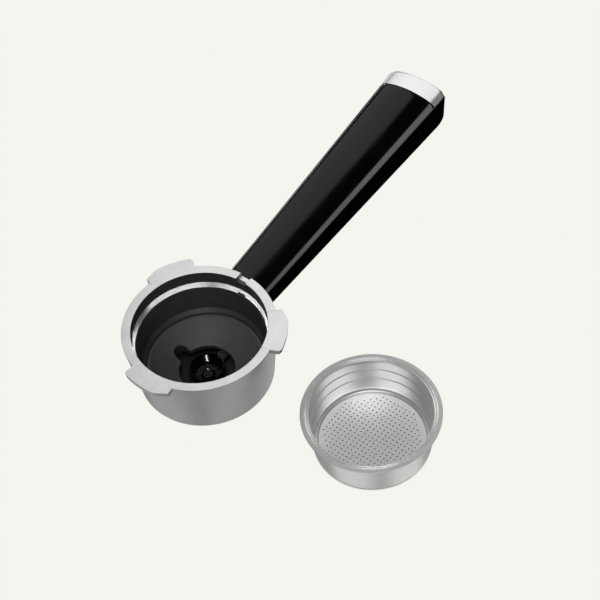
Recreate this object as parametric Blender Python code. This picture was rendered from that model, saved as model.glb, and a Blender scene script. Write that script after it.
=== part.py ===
"""Portafilter: filter holder with its twin spout, sprung valve and handle, and the filter basket beside it.

Metres, +Z up. The origin is the centre of the flange's top face. The handle points along +X.
"""

import math

import bmesh
import bpy
from mathutils import Matrix, Vector

MM = 0.001
GAP = 0.3 * MM
FULL_TURN = math.radians(360)
BIG_STEPS = 48
MIDDLE_STEPS = 32
SMALL_STEPS = 24

# Cup shell
BORE_R = 28.5 * MM
FLANGE_R = 32.35 * MM
CUP_FOOT_R = 28.95 * MM
CUP_HEIGHT = 30.45 * MM
LIP_THICKNESS = 0.4 * MM
POCKET_R = 30.1 * MM
SHOULDER_Z = -9.9 * MM
SHELL_INNER_TOP_R = 28.95 * MM
SHELL_INNER_FOOT_R = 27.0 * MM
FLOOR_TOP_Z = -28.3 * MM
FLOOR_HOLE_R = 21.5 * MM

# Lugs and the locating notch
LUG_R = 36.9 * MM
LUG_RAMP_R = 35.0 * MM
LUG_THICKNESS = 2.4 * MM
LUG_ANGLES = (60, 180, 300)
LUG_HALF_WIDTH_DEG = 18.5
LUG_RAMP_DEG = 10
NOTCH_WIDTH = 5.4 * MM
NOTCH_DEPTH = 1.8 * MM
NOTCH_FILLET_R = 1.2 * MM

# Liner
BAND_FOOT_Z = -5.85 * MM
GROOVE_R = 29.15 * MM
GROOVE_FOOT_Z = -9.0 * MM
LINER_WALL = 1.1 * MM
WALL_TOP_R = 27.55 * MM
LEDGE_R = 26.45 * MM
LEDGE_Z = -21.1 * MM
FLOOR_EDGE_R = 23.85 * MM
FLOOR_EDGE_Z = -23.9 * MM
WELL_R = 11.9 * MM
WELL_RIM_Z = -30.2 * MM
WELL_FLOOR_Z = -33.4 * MM
WELL_BOSS_R = 18.2 * MM
WELL_BOSS_Z = -35.2 * MM
EAR_GROOVE_R = 16.4 * MM
EAR_GROOVE_TOP_Z = -31.5 * MM
LOBE_R = 16.8 * MM
LOBE_HALF_WIDTH = 3.0 * MM
NOZZLE_HOLE_R = 8.1 * MM

# Retaining ring
RING_TOP_Z = -6.15 * MM
RING_FOOT_Z = -8.7 * MM
RING_TOP_R = 28.45 * MM
RING_FOOT_R = 27.68 * MM
RING_THICKNESS = 0.4 * MM
RING_NOTCH_WIDTH = 3.9 * MM
RING_NOTCH_DEPTH = 1.0 * MM

# Screws under the cup
LINER_SCREW_CIRCLE_R = 24.4 * MM
LINER_SCREW_ANGLES = (30, 150, 270)
LINER_SCREW_SHANK_R = 1.2 * MM
LINER_SCREW_HEAD_R = 2.0 * MM
LINER_SCREW_HEAD_H = 0.9 * MM
LINER_SCREW_TOP_Z = -25.3 * MM

# Nozzle, spout and valve
NOZZLE_R = 7.7 * MM
NOZZLE_RIM_Z = -28.5 * MM
NOZZLE_FOOT_Z = -44.2 * MM
NOZZLE_BORE_R = 6.5 * MM
SEAT_TOP_Z = -34.2 * MM
SEAT_FOOT_Z = -35.7 * MM
SEAT_HOLE_R = 3.2 * MM
CHAMBER_R = 5.4 * MM
EAR_R = 16.0 * MM
EAR_WIDTH = 5.2 * MM
EAR_TOP_Z = -31.8 * MM
EAR_FOOT_Z = -33.1 * MM
SEAL_GROOVE_R = 6.8 * MM
SEAL_MID_R = 7.35 * MM
SEAL_WIRE_R = 0.42 * MM
SEAL_Z = -34.3 * MM
SPOUT_TOP_Z = -36.6 * MM
SPOUT_COLLAR_R = 12.6 * MM
SPOUT_COLLAR_FOOT_Z = -41.0 * MM
SPOUT_FOOT_Z = -50.5 * MM
OUTLET_Y = 7.0 * MM
OUTLET_R = 4.1 * MM
OUTLET_BORE_R = 2.6 * MM
OUTLET_BORE_Y = 6.8 * MM
VALVE_HEAD_R = 4.8 * MM
VALVE_SEAL_TOP_Z = -36.0 * MM
VALVE_SEAL_FOOT_Z = -36.6 * MM
VALVE_HEAD_TOP_Z = -36.9 * MM
VALVE_HEAD_FOOT_Z = -37.9 * MM
VALVE_STEM_R = 2.7 * MM
VALVE_STEM_TOP_Z = -33.7 * MM
SPRING_R = 3.5 * MM
SPRING_WIRE_R = 0.35 * MM
SPRING_TURNS = 3
RETAINER_TOP_Z = -43.0 * MM
RETAINER_FOOT_Z = -44.0 * MM
RETAINER_HOLE_R = 2.4 * MM

# Handle: each measure runs evenly from the root station to the end station
ROOT_X = 35.5 * MM
END_STATION_X = 155.5 * MM
HANDLE_START_X = 30.5 * MM
COVER_END_X = 155.3 * MM
CAP_START_X = 155.6 * MM
CAP_END_X = 164.4 * MM
HANDLE_END_X = 165.7 * MM
HALF_WIDTHS = (10.3 * MM, 14.4 * MM)
CREASE_ZS = (-5.3 * MM, 3.2 * MM)
DEPTHS = (14.0 * MM, 20.0 * MM)
CORNER_RADII = (5.0 * MM, 6.0 * MM)
CHAMFER_WIDTHS = (1.75 * MM, 2.4 * MM)
CHAMFER_DROPS = (1.35 * MM, 1.75 * MM)
CROWN_R = 36.0 * MM
COVER_WALL = 1.6 * MM
SHELL_WALL = 2.2 * MM
END_ROUND_R = 6.0 * MM
END_WALL_X = 163.2 * MM

# Inside the handle
ROD_Z = -11.0 * MM
ROD_R = 2.5 * MM
ROD_START_X = 34.0 * MM
ROD_END_X = 105.0 * MM
NECK_END_X = 44.0 * MM
NECK_WIDTH = 12.0 * MM
NECK_HEIGHT = 9.0 * MM
CORE_END_X = 96.0 * MM
COVER_SCREW_XS = (112.0 * MM, 146.0 * MM)
COVER_SCREW_SHANK_R = 1.4 * MM
COVER_SCREW_HEAD_R = 2.6 * MM
COVER_SCREW_HEAD_H = 1.6 * MM
COUNTERBORE_DEPTH = 2.4 * MM

# Basket, standing beside the holder on the plane that the spout's feet reach
BASKET_X = 20.4 * MM
BASKET_Y = -70.8 * MM
BASKET_HEIGHT = 20.5 * MM
BASKET_SHEET = 0.6 * MM
BASKET_RIM_R = 29.7 * MM

COLOURS = {
    "satin_steel": ((0.62, 0.62, 0.61, 1), 0.35, 1.0),
    "bright_steel": ((0.86, 0.86, 0.85, 1), 0.18, 1.0),
    "satin_silver": ((0.88, 0.88, 0.88, 1), 0.32, 1.0),
    "basket_steel": ((0.74, 0.73, 0.71, 1), 0.28, 1.0),
    "zinc_steel": ((0.55, 0.56, 0.57, 1), 0.4, 1.0),
    "liner_black": ((0.03, 0.03, 0.03, 1), 0.55, 0.0),
    "gloss_black": ((0.01, 0.01, 0.01, 1), 0.12, 0.0),
    "core_nylon": ((0.05, 0.05, 0.05, 1), 0.6, 0.0),
    "silicone_red": ((0.35, 0.06, 0.04, 1), 0.6, 0.0),
}


def clear_scene():
    for obj in list(bpy.data.objects):
        bpy.data.objects.remove(obj, do_unlink=True)


def material(name):
    """The named Principled material, made once."""
    found = bpy.data.materials.get(name)
    if found:
        return found
    colour, roughness, metallic = COLOURS[name]
    made = bpy.data.materials.new(name)
    made.use_nodes = True
    shader = made.node_tree.nodes["Principled BSDF"]
    shader.inputs["Base Color"].default_value = colour
    shader.inputs["Roughness"].default_value = roughness
    shader.inputs["Metallic"].default_value = metallic
    return made


def add_object(name, bm, material_name=None, parent=None, location=(0, 0, 0)):
    """An object from a bmesh whose faces are turned to point out."""
    bmesh.ops.remove_doubles(bm, verts=bm.verts, dist=1e-6)
    bmesh.ops.dissolve_degenerate(bm, edges=bm.edges, dist=1e-6)
    bmesh.ops.recalc_face_normals(bm, faces=bm.faces)
    mesh = bpy.data.meshes.new(name)
    bm.to_mesh(mesh)
    bm.free()
    mesh.shade_smooth()
    mesh.set_sharp_from_angle(angle=math.radians(30))
    obj = bpy.data.objects.new(name, mesh)
    bpy.context.scene.collection.objects.link(obj)
    obj.location = location
    obj.parent = parent
    if material_name:
        mesh.materials.append(material(material_name))
    return obj


def add_empty(name, location):
    empty = bpy.data.objects.new(name, None)
    bpy.context.scene.collection.objects.link(empty)
    empty.location = location
    return empty


def lathe(profile, steps):
    """A closed profile of (radius, height) points, turned about Z. An edge on the axis makes no face."""
    bm = bmesh.new()
    verts = [bm.verts.new((radius, 0, height)) for radius, height in profile]
    pairs = zip(verts, verts[1:] + verts[:1])
    edges = [bm.edges.new((a, b)) for a, b in pairs if a.co.x or b.co.x]
    bmesh.ops.spin(bm, geom=verts + edges, axis=(0, 0, 1), cent=(0, 0, 0),
                   angle=FULL_TURN, steps=steps, use_merge=True)
    return bm


def tube(inner_r, outer_r, foot, top, steps=SMALL_STEPS):
    return lathe([(outer_r, top), (outer_r, foot), (inner_r, foot), (inner_r, top)], steps)


def rod(radius, foot, top, steps=SMALL_STEPS):
    return lathe([(0, top), (radius, top), (radius, foot), (0, foot)], steps)


def prism(outline, foot, top):
    """A flat outline of (x, y) points, extruded from foot to top."""
    bm = bmesh.new()
    face = bm.faces.new([bm.verts.new((x, y, foot)) for x, y in outline])
    raised = bmesh.ops.extrude_face_region(bm, geom=[face])["geom"]
    bmesh.ops.translate(bm, vec=(0, 0, top - foot),
                        verts=[part for part in raised if isinstance(part, bmesh.types.BMVert)])
    return bm


def block(low, high, bevel=0.0):
    """A box between two corners, its edges bevelled if asked."""
    centre = [(a + b) / 2 for a, b in zip(low, high)]
    bm = bmesh.new()
    bmesh.ops.create_cube(bm, size=1)
    bmesh.ops.scale(bm, vec=[b - a for a, b in zip(low, high)], verts=bm.verts)
    if bevel:
        bmesh.ops.bevel(bm, geom=bm.edges[:], offset=bevel, segments=2, affect="EDGES", profile=0.5)
    bmesh.ops.translate(bm, vec=centre, verts=bm.verts)
    return bm


def turned(bm, matrix):
    bmesh.ops.transform(bm, matrix=matrix, verts=bm.verts)
    return bm


def along_x(bm, x=0.0, z=0.0):
    """Lays a shape made about Z along X, its +Z end towards +X."""
    return turned(bm, Matrix.Translation((x, 0, z)) @ Matrix.Rotation(math.radians(90), 4, "Y"))


def boolean(target, bm, name, operation="DIFFERENCE"):
    """Cuts a shape from target, or joins it on, with a hidden helper object."""
    helper = add_object(f"{target.name}_{name}", bm, parent=target.parent)
    helper.hide_render = True
    helper.hide_viewport = True
    helper.display_type = "WIRE"
    modifier = target.modifiers.new(name, "BOOLEAN")
    modifier.operation = operation
    modifier.object = helper
    modifier.solver = "EXACT"


def polar(radius, degrees):
    angle = math.radians(degrees)
    return radius * math.cos(angle), radius * math.sin(angle)


def arc(radius, start_deg, end_deg, count):
    return [polar(radius, start_deg + (end_deg - start_deg) * i / count) for i in range(count + 1)]


# ---------------------------------------------------------------- cup shell


def cup_outer_r(z):
    return FLANGE_R + (FLANGE_R - CUP_FOOT_R) * z / CUP_HEIGHT


def lug_outline(centre_deg):
    """One lug in plan: its clockwise end is square, its other end falls in a ramp."""
    start = centre_deg - LUG_HALF_WIDTH_DEG
    end = centre_deg + LUG_HALF_WIDTH_DEG
    outer = arc(LUG_R, start, end - LUG_RAMP_DEG, 8)
    return arc(BORE_R + 2.5 * MM, end, start, 8) + outer + [polar(LUG_RAMP_R, end)]


def neck_prism():
    """The neck under the handle, its back curved to end inside the cup's wall."""
    back_r = POCKET_R + 0.2 * MM
    half_deg = math.degrees(math.asin(NECK_WIDTH / 2 / back_r))
    outline = arc(back_r, half_deg, -half_deg, 6)
    outline += [(NECK_END_X, -NECK_WIDTH / 2), (NECK_END_X, NECK_WIDTH / 2)]
    return prism(outline, ROD_Z - NECK_HEIGHT / 2, ROD_Z + NECK_HEIGHT / 2)


def notch_cutter():
    """The notch at the handle: it runs outwards through the lip and the flange, with filleted feet."""
    side = NOTCH_WIDTH / 2
    foot = NOTCH_FILLET_R - NOTCH_DEPTH
    right = [(side - NOTCH_FILLET_R + u, foot + v) for u, v in arc(NOTCH_FILLET_R, -90, 0, 4)]
    outline = right + [(side, 1 * MM), (-side, 1 * MM)] + [(-y, z) for y, z in reversed(right)]
    return loft([[(x, y, z) for y, z in outline] for x in (BORE_R - 2 * MM, FLANGE_R + 2 * MM)])


def make_cup_shell():
    foot_chamfer = 0.6 * MM
    profile = [
        (FLANGE_R, 0),
        (CUP_FOOT_R + 0.1 * MM, -CUP_HEIGHT + foot_chamfer),
        (CUP_FOOT_R - foot_chamfer, -CUP_HEIGHT),
        (FLOOR_HOLE_R, -CUP_HEIGHT),
        (FLOOR_HOLE_R, FLOOR_TOP_Z),
        (SHELL_INNER_FOOT_R, FLOOR_TOP_Z),
        (SHELL_INNER_TOP_R, SHOULDER_Z),
        (POCKET_R, SHOULDER_Z),
        (POCKET_R, -LIP_THICKNESS),
        (BORE_R, -LIP_THICKNESS),
        (BORE_R, 0),
    ]
    shell = add_object("cup_shell", lathe(profile, BIG_STEPS), "satin_steel")
    for index, angle in enumerate(LUG_ANGLES):
        lug = prism(lug_outline(angle), -LUG_THICKNESS, 0)
        boolean(shell, lug, f"lug_{index + 1}", "UNION")
    boolean(shell, neck_prism(), "neck", "UNION")
    boolean(shell, notch_cutter(), "notch")
    bore = along_x(rod(ROD_R + GAP, ROD_START_X - GAP, NECK_END_X + 1 * MM), z=ROD_Z)
    boolean(shell, bore, "rod_bore")
    for index, angle in enumerate(LINER_SCREW_ANGLES):
        x, y = polar(LINER_SCREW_CIRCLE_R, angle)
        hole = lathe([
            (0, FLOOR_TOP_Z + 1 * MM),
            (LINER_SCREW_SHANK_R + GAP, FLOOR_TOP_Z + 1 * MM),
            (LINER_SCREW_SHANK_R + GAP, -CUP_HEIGHT + LINER_SCREW_HEAD_H + GAP),
            (LINER_SCREW_HEAD_R + GAP, -CUP_HEIGHT + LINER_SCREW_HEAD_H + GAP),
            (LINER_SCREW_HEAD_R + GAP, -CUP_HEIGHT - 1 * MM),
            (0, -CUP_HEIGHT - 1 * MM),
        ], SMALL_STEPS)
        boolean(shell, turned(hole, Matrix.Translation((x, y, 0))), f"screw_hole_{index + 1}")


# ---------------------------------------------------------------- liner, ring and their screws


def lobe_prism(half_width, reach, foot, top):
    """The two side lobes of the well in one shape, rounded at both ends, lying along Y."""
    straight = reach - half_width
    ends = [(x, y + straight) for x, y in arc(half_width, 0, 180, 8)]
    ends += [(x, y - straight) for x, y in arc(half_width, 180, 360, 8)]
    return prism(ends, foot, top)


def make_cup_liner():
    outer_top_r = POCKET_R - GAP
    shoulder_z = SHOULDER_Z + GAP
    skirt_top_r = SHELL_INNER_TOP_R - GAP
    skirt_foot_r = SHELL_INNER_FOOT_R - GAP
    skirt_foot_z = FLOOR_TOP_Z + GAP
    under_edge_z = FLOOR_EDGE_Z - 1.7 * MM
    profile = [
        (BORE_R, -LIP_THICKNESS - GAP),
        (outer_top_r, -LIP_THICKNESS - GAP),
        (outer_top_r, shoulder_z),
        (skirt_top_r, shoulder_z),
        (skirt_foot_r, skirt_foot_z),
        (skirt_foot_r - LINER_WALL, skirt_foot_z),
        (skirt_foot_r - LINER_WALL, under_edge_z),
        (FLOOR_EDGE_R - 1 * MM, under_edge_z - 0.4 * MM),
        (WELL_BOSS_R, WELL_RIM_Z + 1.2 * MM),
        (WELL_BOSS_R, WELL_BOSS_Z),
        (NOZZLE_HOLE_R, WELL_BOSS_Z),
        (NOZZLE_HOLE_R, WELL_FLOOR_Z),
        (WELL_R, WELL_FLOOR_Z),
        (WELL_R, WELL_RIM_Z),
        (FLOOR_EDGE_R, FLOOR_EDGE_Z),
        (LEDGE_R - 1.5 * MM, LEDGE_Z - 1.9 * MM),
        (LEDGE_R, LEDGE_Z),
        (WALL_TOP_R, GROOVE_FOOT_Z),
        (GROOVE_R - 0.65 * MM, GROOVE_FOOT_Z),
        (GROOVE_R, BAND_FOOT_Z),
        (BORE_R, BAND_FOOT_Z),
    ]
    liner = add_object("cup_liner", lathe(profile, BIG_STEPS), "liner_black")
    for index, angle in enumerate(LINER_SCREW_ANGLES):
        x, y = polar(LINER_SCREW_CIRCLE_R - 0.3 * MM, angle)
        boss = rod(2.6 * MM, skirt_foot_z, under_edge_z + 0.1 * MM)
        boolean(liner, turned(boss, Matrix.Translation((x, y, 0))), f"boss_{index + 1}", "UNION")
    for index, angle in enumerate(LINER_SCREW_ANGLES):
        x, y = polar(LINER_SCREW_CIRCLE_R, angle)
        pilot = rod(LINER_SCREW_SHANK_R + GAP, skirt_foot_z - 1 * MM, LINER_SCREW_TOP_Z + GAP)
        boolean(liner, turned(pilot, Matrix.Translation((x, y, 0))), f"pilot_{index + 1}")
    boolean(liner, lobe_prism(LOBE_HALF_WIDTH, LOBE_R, EAR_GROOVE_TOP_Z - 0.5 * MM, -20 * MM), "lobes")
    boolean(liner, rod(EAR_GROOVE_R, WELL_FLOOR_Z, EAR_GROOVE_TOP_Z, BIG_STEPS), "ear_groove")
    boolean(liner, notch_cutter(), "notch")


def make_retaining_ring():
    profile = [
        (RING_TOP_R, RING_TOP_Z),
        (RING_TOP_R + RING_THICKNESS, RING_TOP_Z),
        (RING_FOOT_R + RING_THICKNESS, RING_FOOT_Z),
        (RING_FOOT_R, RING_FOOT_Z),
    ]
    ring = add_object("retaining_ring", lathe(profile, BIG_STEPS), "bright_steel")
    notch = block((RING_FOOT_R - 2 * MM, -RING_NOTCH_WIDTH / 2, RING_FOOT_Z - 1 * MM),
                  (RING_TOP_R + 2 * MM, RING_NOTCH_WIDTH / 2, RING_FOOT_Z + RING_NOTCH_DEPTH))
    boolean(ring, notch, "notch")


def cross_recess(width, length, foot, top):
    """A plus-shaped prism for a screw head."""
    half = width / 2
    reach = length / 2
    corner = [(reach, -half), (reach, half), (half, half)]
    outline = []
    for quarter in range(4):
        turn = Matrix.Rotation(math.radians(90 * quarter), 2)
        outline += [tuple(turn @ Vector(point)) for point in corner]
    return prism(outline, foot, top)


def make_screw(name, location, shank_r, head_r, head_h, length):
    """A pan-head screw that points up, with the underside of its head at the given place."""
    profile = [
        (0, length),
        (shank_r * 0.55, length),
        (shank_r, length - shank_r),
        (shank_r, 0),
        (head_r, 0),
        (head_r, -head_h * 0.6),
        (head_r * 0.8, -head_h),
        (0, -head_h),
    ]
    place = Matrix.Translation(location)
    screw = add_object(name, turned(lathe(profile, 20), place), "zinc_steel")
    recess = cross_recess(head_r * 0.32, head_r * 1.1, -head_h - 1 * MM, -head_h * 0.45)
    boolean(screw, turned(recess, place), "recess")


def make_liner_screws():
    seat_z = -CUP_HEIGHT + LINER_SCREW_HEAD_H
    for index, angle in enumerate(LINER_SCREW_ANGLES):
        x, y = polar(LINER_SCREW_CIRCLE_R, angle)
        make_screw(f"liner_screw_{index + 1}", (x, y, seat_z), LINER_SCREW_SHANK_R,
                   LINER_SCREW_HEAD_R, LINER_SCREW_HEAD_H, LINER_SCREW_TOP_Z - seat_z)


# ---------------------------------------------------------------- nozzle, spout and valve


def make_outlet_nozzle(parent):
    groove_half = 0.6 * MM
    profile = [
        (NOZZLE_R - 0.3 * MM, NOZZLE_RIM_Z),
        (NOZZLE_R, NOZZLE_RIM_Z - 0.3 * MM),
        (NOZZLE_R, SEAL_Z + groove_half),
        (SEAL_GROOVE_R, SEAL_Z + groove_half),
        (SEAL_GROOVE_R, SEAL_Z - groove_half),
        (NOZZLE_R, SEAL_Z - groove_half),
        (NOZZLE_R, NOZZLE_FOOT_Z),
        (CHAMBER_R, NOZZLE_FOOT_Z),
        (CHAMBER_R, SEAT_FOOT_Z),
        (SEAT_HOLE_R, SEAT_FOOT_Z),
        (SEAT_HOLE_R, SEAT_TOP_Z),
        (NOZZLE_BORE_R - 1.0 * MM, SEAT_TOP_Z),
        (NOZZLE_BORE_R, SEAT_TOP_Z + 1.0 * MM),
        (NOZZLE_BORE_R, NOZZLE_RIM_Z - 0.6 * MM),
        (NOZZLE_R - 0.6 * MM, NOZZLE_RIM_Z),
    ]
    nozzle = add_object("outlet_nozzle", lathe(profile, MIDDLE_STEPS), "gloss_black", parent)
    for name, side in (("ear_front", 1), ("ear_back", -1)):
        reach = (EAR_R + NOZZLE_R - 0.6 * MM) / 2 * side
        half = (EAR_R - NOZZLE_R + 0.6 * MM) / 2
        ear = block((reach - half, -EAR_WIDTH / 2, EAR_FOOT_Z), (reach + half, EAR_WIDTH / 2, EAR_TOP_Z))
        boolean(nozzle, ear, name, "UNION")
    mark = block((NOZZLE_BORE_R - 1 * MM, -1.0 * MM, NOZZLE_RIM_Z - 0.5 * MM),
                 (NOZZLE_R + 1 * MM, 1.0 * MM, NOZZLE_RIM_Z + 1 * MM))
    boolean(nozzle, mark, "rim_mark")


def make_nozzle_seal(parent):
    profile = [(SEAL_MID_R + x, SEAL_Z + z) for x, z in arc(SEAL_WIRE_R, 0, -300, 5)]
    add_object("nozzle_seal", lathe(profile, SMALL_STEPS), "silicone_red", parent)


def spout_lobe(side):
    """One outlet: a tapering oval leg that leans out from the collar to its foot."""
    stations = (
        (SPOUT_COLLAR_FOOT_Z + 1.5 * MM, 4.6 * MM, 7.2 * MM, 6.0 * MM),
        (-43.5 * MM, 5.4 * MM, 6.2 * MM, 5.4 * MM),
        (-46.5 * MM, OUTLET_Y - 0.4 * MM, 5.0 * MM, 4.7 * MM),
        (SPOUT_FOOT_Z, OUTLET_Y, OUTLET_R, OUTLET_R),
    )
    bm = bmesh.new()
    rings = []
    for z, centre_y, half_x, half_y in stations:
        ring = [bm.verts.new((half_x * x, side * centre_y + half_y * y, z))
                for x, y in arc(1, 0, 360, SMALL_STEPS)[:-1]]
        rings.append(ring)
    for upper, lower in zip(rings, rings[1:]):
        for i in range(SMALL_STEPS):
            j = (i + 1) % SMALL_STEPS
            bm.faces.new((upper[i], upper[j], lower[j], lower[i]))
    bm.faces.new(rings[0])
    bm.faces.new(rings[-1])
    return bm


def make_spout_body(parent):
    profile = [
        (0, SPOUT_TOP_Z),
        (SPOUT_COLLAR_R - 0.8 * MM, SPOUT_TOP_Z),
        (SPOUT_COLLAR_R, SPOUT_TOP_Z - 0.8 * MM),
        (SPOUT_COLLAR_R, SPOUT_COLLAR_FOOT_Z + 2 * MM),
        (SPOUT_COLLAR_R - 2.2 * MM, SPOUT_COLLAR_FOOT_Z - 1.2 * MM),
        (8.0 * MM, NOZZLE_FOOT_Z - 2.6 * MM),
        (0, NOZZLE_FOOT_Z - 2.6 * MM),
    ]
    spout = add_object("spout_body", lathe(profile, MIDDLE_STEPS), "gloss_black", parent)
    for name, side in (("leg_left", 1), ("leg_right", -1)):
        boolean(spout, spout_lobe(side), name, "UNION")
    boolean(spout, rod(NOZZLE_R + GAP, NOZZLE_FOOT_Z - GAP, SPOUT_TOP_Z + 1 * MM, MIDDLE_STEPS), "socket")
    for name, side in (("channel_left", 1), ("channel_right", -1)):
        channel = rod(OUTLET_BORE_R, SPOUT_FOOT_Z - 1 * MM, NOZZLE_FOOT_Z + 0.5 * MM, 20)
        boolean(spout, turned(channel, Matrix.Translation((0, side * OUTLET_BORE_Y, 0))), name)


def make_spout_gasket(parent):
    add_object("spout_gasket", tube(NOZZLE_R + GAP, 11.4 * MM, SPOUT_TOP_Z + GAP, WELL_BOSS_Z - GAP, MIDDLE_STEPS),
               "silicone_red", parent)


def make_valve(spout, valve):
    plunger = [
        (0, VALVE_STEM_TOP_Z),
        (VALVE_STEM_R - 0.5 * MM, VALVE_STEM_TOP_Z),
        (VALVE_STEM_R, VALVE_STEM_TOP_Z - 0.5 * MM),
        (VALVE_STEM_R, VALVE_HEAD_TOP_Z),
        (VALVE_HEAD_R, VALVE_HEAD_TOP_Z),
        (VALVE_HEAD_R, VALVE_HEAD_FOOT_Z),
        (2.4 * MM, VALVE_HEAD_FOOT_Z),
        (2.4 * MM, VALVE_HEAD_FOOT_Z - 1.5 * MM),
        (0, VALVE_HEAD_FOOT_Z - 1.5 * MM),
    ]
    add_object("valve_plunger", lathe(plunger, SMALL_STEPS), "core_nylon", valve)
    add_object("valve_seal", tube(VALVE_STEM_R + GAP, VALVE_HEAD_R, VALVE_SEAL_FOOT_Z, VALVE_SEAL_TOP_Z),
               "silicone_red", valve)
    add_object("valve_retainer", tube(RETAINER_HOLE_R, CHAMBER_R - GAP, RETAINER_FOOT_Z, RETAINER_TOP_Z),
               "core_nylon", spout)
    make_valve_spring(spout)


def make_valve_spring(parent):
    """A coil between the plunger's head and the retainer, swept round the helix that it follows."""
    foot = RETAINER_TOP_Z + GAP + SPRING_WIRE_R
    top = VALVE_HEAD_FOOT_Z - GAP - SPRING_WIRE_R
    steps_per_turn = 14
    wire_sides = 5
    steps = SPRING_TURNS * steps_per_turn
    bm = bmesh.new()
    rings = []
    for step in range(steps + 1):
        angle = 360 * step / steps_per_turn
        height = foot + (top - foot) * step / steps
        ring = []
        for out, up in arc(SPRING_WIRE_R, 0, 360, wire_sides)[:-1]:
            x, y = polar(SPRING_R + out, angle)
            ring.append(bm.verts.new((x, y, height + up)))
        rings.append(ring)
    for first, second in zip(rings, rings[1:]):
        for i in range(wire_sides):
            j = (i + 1) % wire_sides
            bm.faces.new((first[i], first[j], second[j], second[i]))
    bm.faces.new(rings[0])
    bm.faces.new(rings[-1])
    add_object("valve_spring", bm, "zinc_steel", parent)


# ---------------------------------------------------------------- handle


def along(pair, x):
    """A handle measure at x, between its values at the root and end stations."""
    share = (x - ROOT_X) / (END_STATION_X - ROOT_X)
    return pair[0] + (pair[1] - pair[0]) * share


def crown_rise(half):
    return CROWN_R - math.sqrt(CROWN_R ** 2 - half ** 2)


def cover_section(x, inset):
    """The crowned top with its chamfers at x, as (y, z), closed along the crease line."""
    half = along(HALF_WIDTHS, x) - inset
    crease = along(CREASE_ZS, x)
    flat_half = along(HALF_WIDTHS, x) - along(CHAMFER_WIDTHS, x) - inset
    edge_z = crease + along(CHAMFER_DROPS, x) - inset
    top_z = edge_z + crown_rise(flat_half)
    crown = []
    count = 10
    for i in range(count + 1):
        y = flat_half - 2 * flat_half * i / count
        crown.append((y, top_z - crown_rise(abs(y))))
    return half, crease, crown


def loft(sections):
    """A solid through sections, each a list of (x, y, z) with the same number of points."""
    bm = bmesh.new()
    rings = [[bm.verts.new(point) for point in section] for section in sections]
    count = len(rings[0])
    for first, second in zip(rings, rings[1:]):
        for i in range(count):
            j = (i + 1) % count
            bm.faces.new((first[i], first[j], second[j], second[i]))
    bm.faces.new(rings[0])
    bm.faces.new(rings[-1])
    return bm


def cover_solid(start, end, inset, foot_drop):
    """The cover's outside when inset is 0, and the hollow below it when inset is the wall."""
    sections = []
    for x in (start, end):
        half, crease, crown = cover_section(x, inset)
        foot = crease + GAP / 2 - foot_drop
        sections.append([(x, half, foot)] + [(x, y, z) for y, z in crown] + [(x, -half, foot)])
    return loft(sections)


def clear_cup():
    """A cone that keeps the handle's shells just clear of the cup's wall."""
    gap = 0.4 * MM
    low = -24 * MM
    high = 2 * MM
    return lathe([(0, high), (cup_outer_r(high) + gap, high), (cup_outer_r(low) + gap, low), (0, low)],
                 BIG_STEPS)


def shell_floor_z(x):
    return along(CREASE_ZS, x) - along(DEPTHS, x)


def screw_post(x):
    """A post that hangs from the cover to the shell's pad, with its blind screw hole."""
    post_r = 2.8 * MM
    hole_r = COVER_SCREW_SHANK_R + GAP
    top = along(CREASE_ZS, x) + 2.9 * MM
    foot = shell_floor_z(x) + SHELL_WALL + 3.3 * MM
    hole_top = along(CREASE_ZS, x) + 0.4 * MM
    return lathe([(0, top), (post_r, top), (post_r, foot), (hole_r, foot), (hole_r, hole_top),
                  (0, hole_top)], 20)


def make_handle_cover():
    cover = add_object("handle_cover", cover_solid(HANDLE_START_X, COVER_END_X, 0, 0), "gloss_black")
    hollow_start = HANDLE_START_X - 1 * MM
    hollow_end = COVER_END_X - COVER_WALL
    boolean(cover, cover_solid(hollow_start, hollow_end, COVER_WALL, 1 * MM), "hollow")
    boolean(cover, clear_cup(), "cup_clearance")
    for index, x in enumerate(COVER_SCREW_XS):
        boolean(cover, turned(screw_post(x), Matrix.Translation((x, 0, 0))), f"post_{index + 1}", "UNION")


def shell_section(x, inset, top_z):
    """The trough at x as (x, y, z): up the right side, across the top and down the left."""
    half = along(HALF_WIDTHS, x) - inset
    lower_half = half - 0.5 * MM
    radius = along(CORNER_RADII, x) - inset
    foot = shell_floor_z(x) + inset
    right = [(lower_half - radius + u, foot + radius + v) for u, v in arc(radius, -90, 0, 6)]
    left = [(-y, z) for y, z in reversed(right)]
    outline = right + [(half, top_z), (-half, top_z)] + left
    return [(x, y, z) for y, z in outline]


def rounded_end_stations():
    """(x, how far the outline has drawn in) over the last stretch of the handle."""
    count = 5
    for i in range(1, count + 1):
        angle = math.radians(75) * i / count
        x = HANDLE_END_X - END_ROUND_R + END_ROUND_R * math.sin(angle) / math.sin(math.radians(75))
        yield x, END_ROUND_R * 0.55 * (1 - math.cos(angle))


def shell_outside():
    straight_end = HANDLE_END_X - END_ROUND_R
    sections = [shell_section(x, 0, along(CREASE_ZS, x) - GAP / 2) for x in (HANDLE_START_X, straight_end)]
    for x, draw_in in rounded_end_stations():
        crease = along(CREASE_ZS, x) - GAP / 2
        middle = (crease + shell_floor_z(x)) / 2
        half_height = (crease - shell_floor_z(x)) / 2
        scale_z = 1 - draw_in / half_height
        scale_y = 1 - 0.5 * draw_in / along(HALF_WIDTHS, x)
        sections.append([(px, py * scale_y, middle + (pz - middle) * scale_z)
                         for px, py, pz in shell_section(x, 0, crease)])
    return loft(sections)


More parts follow.
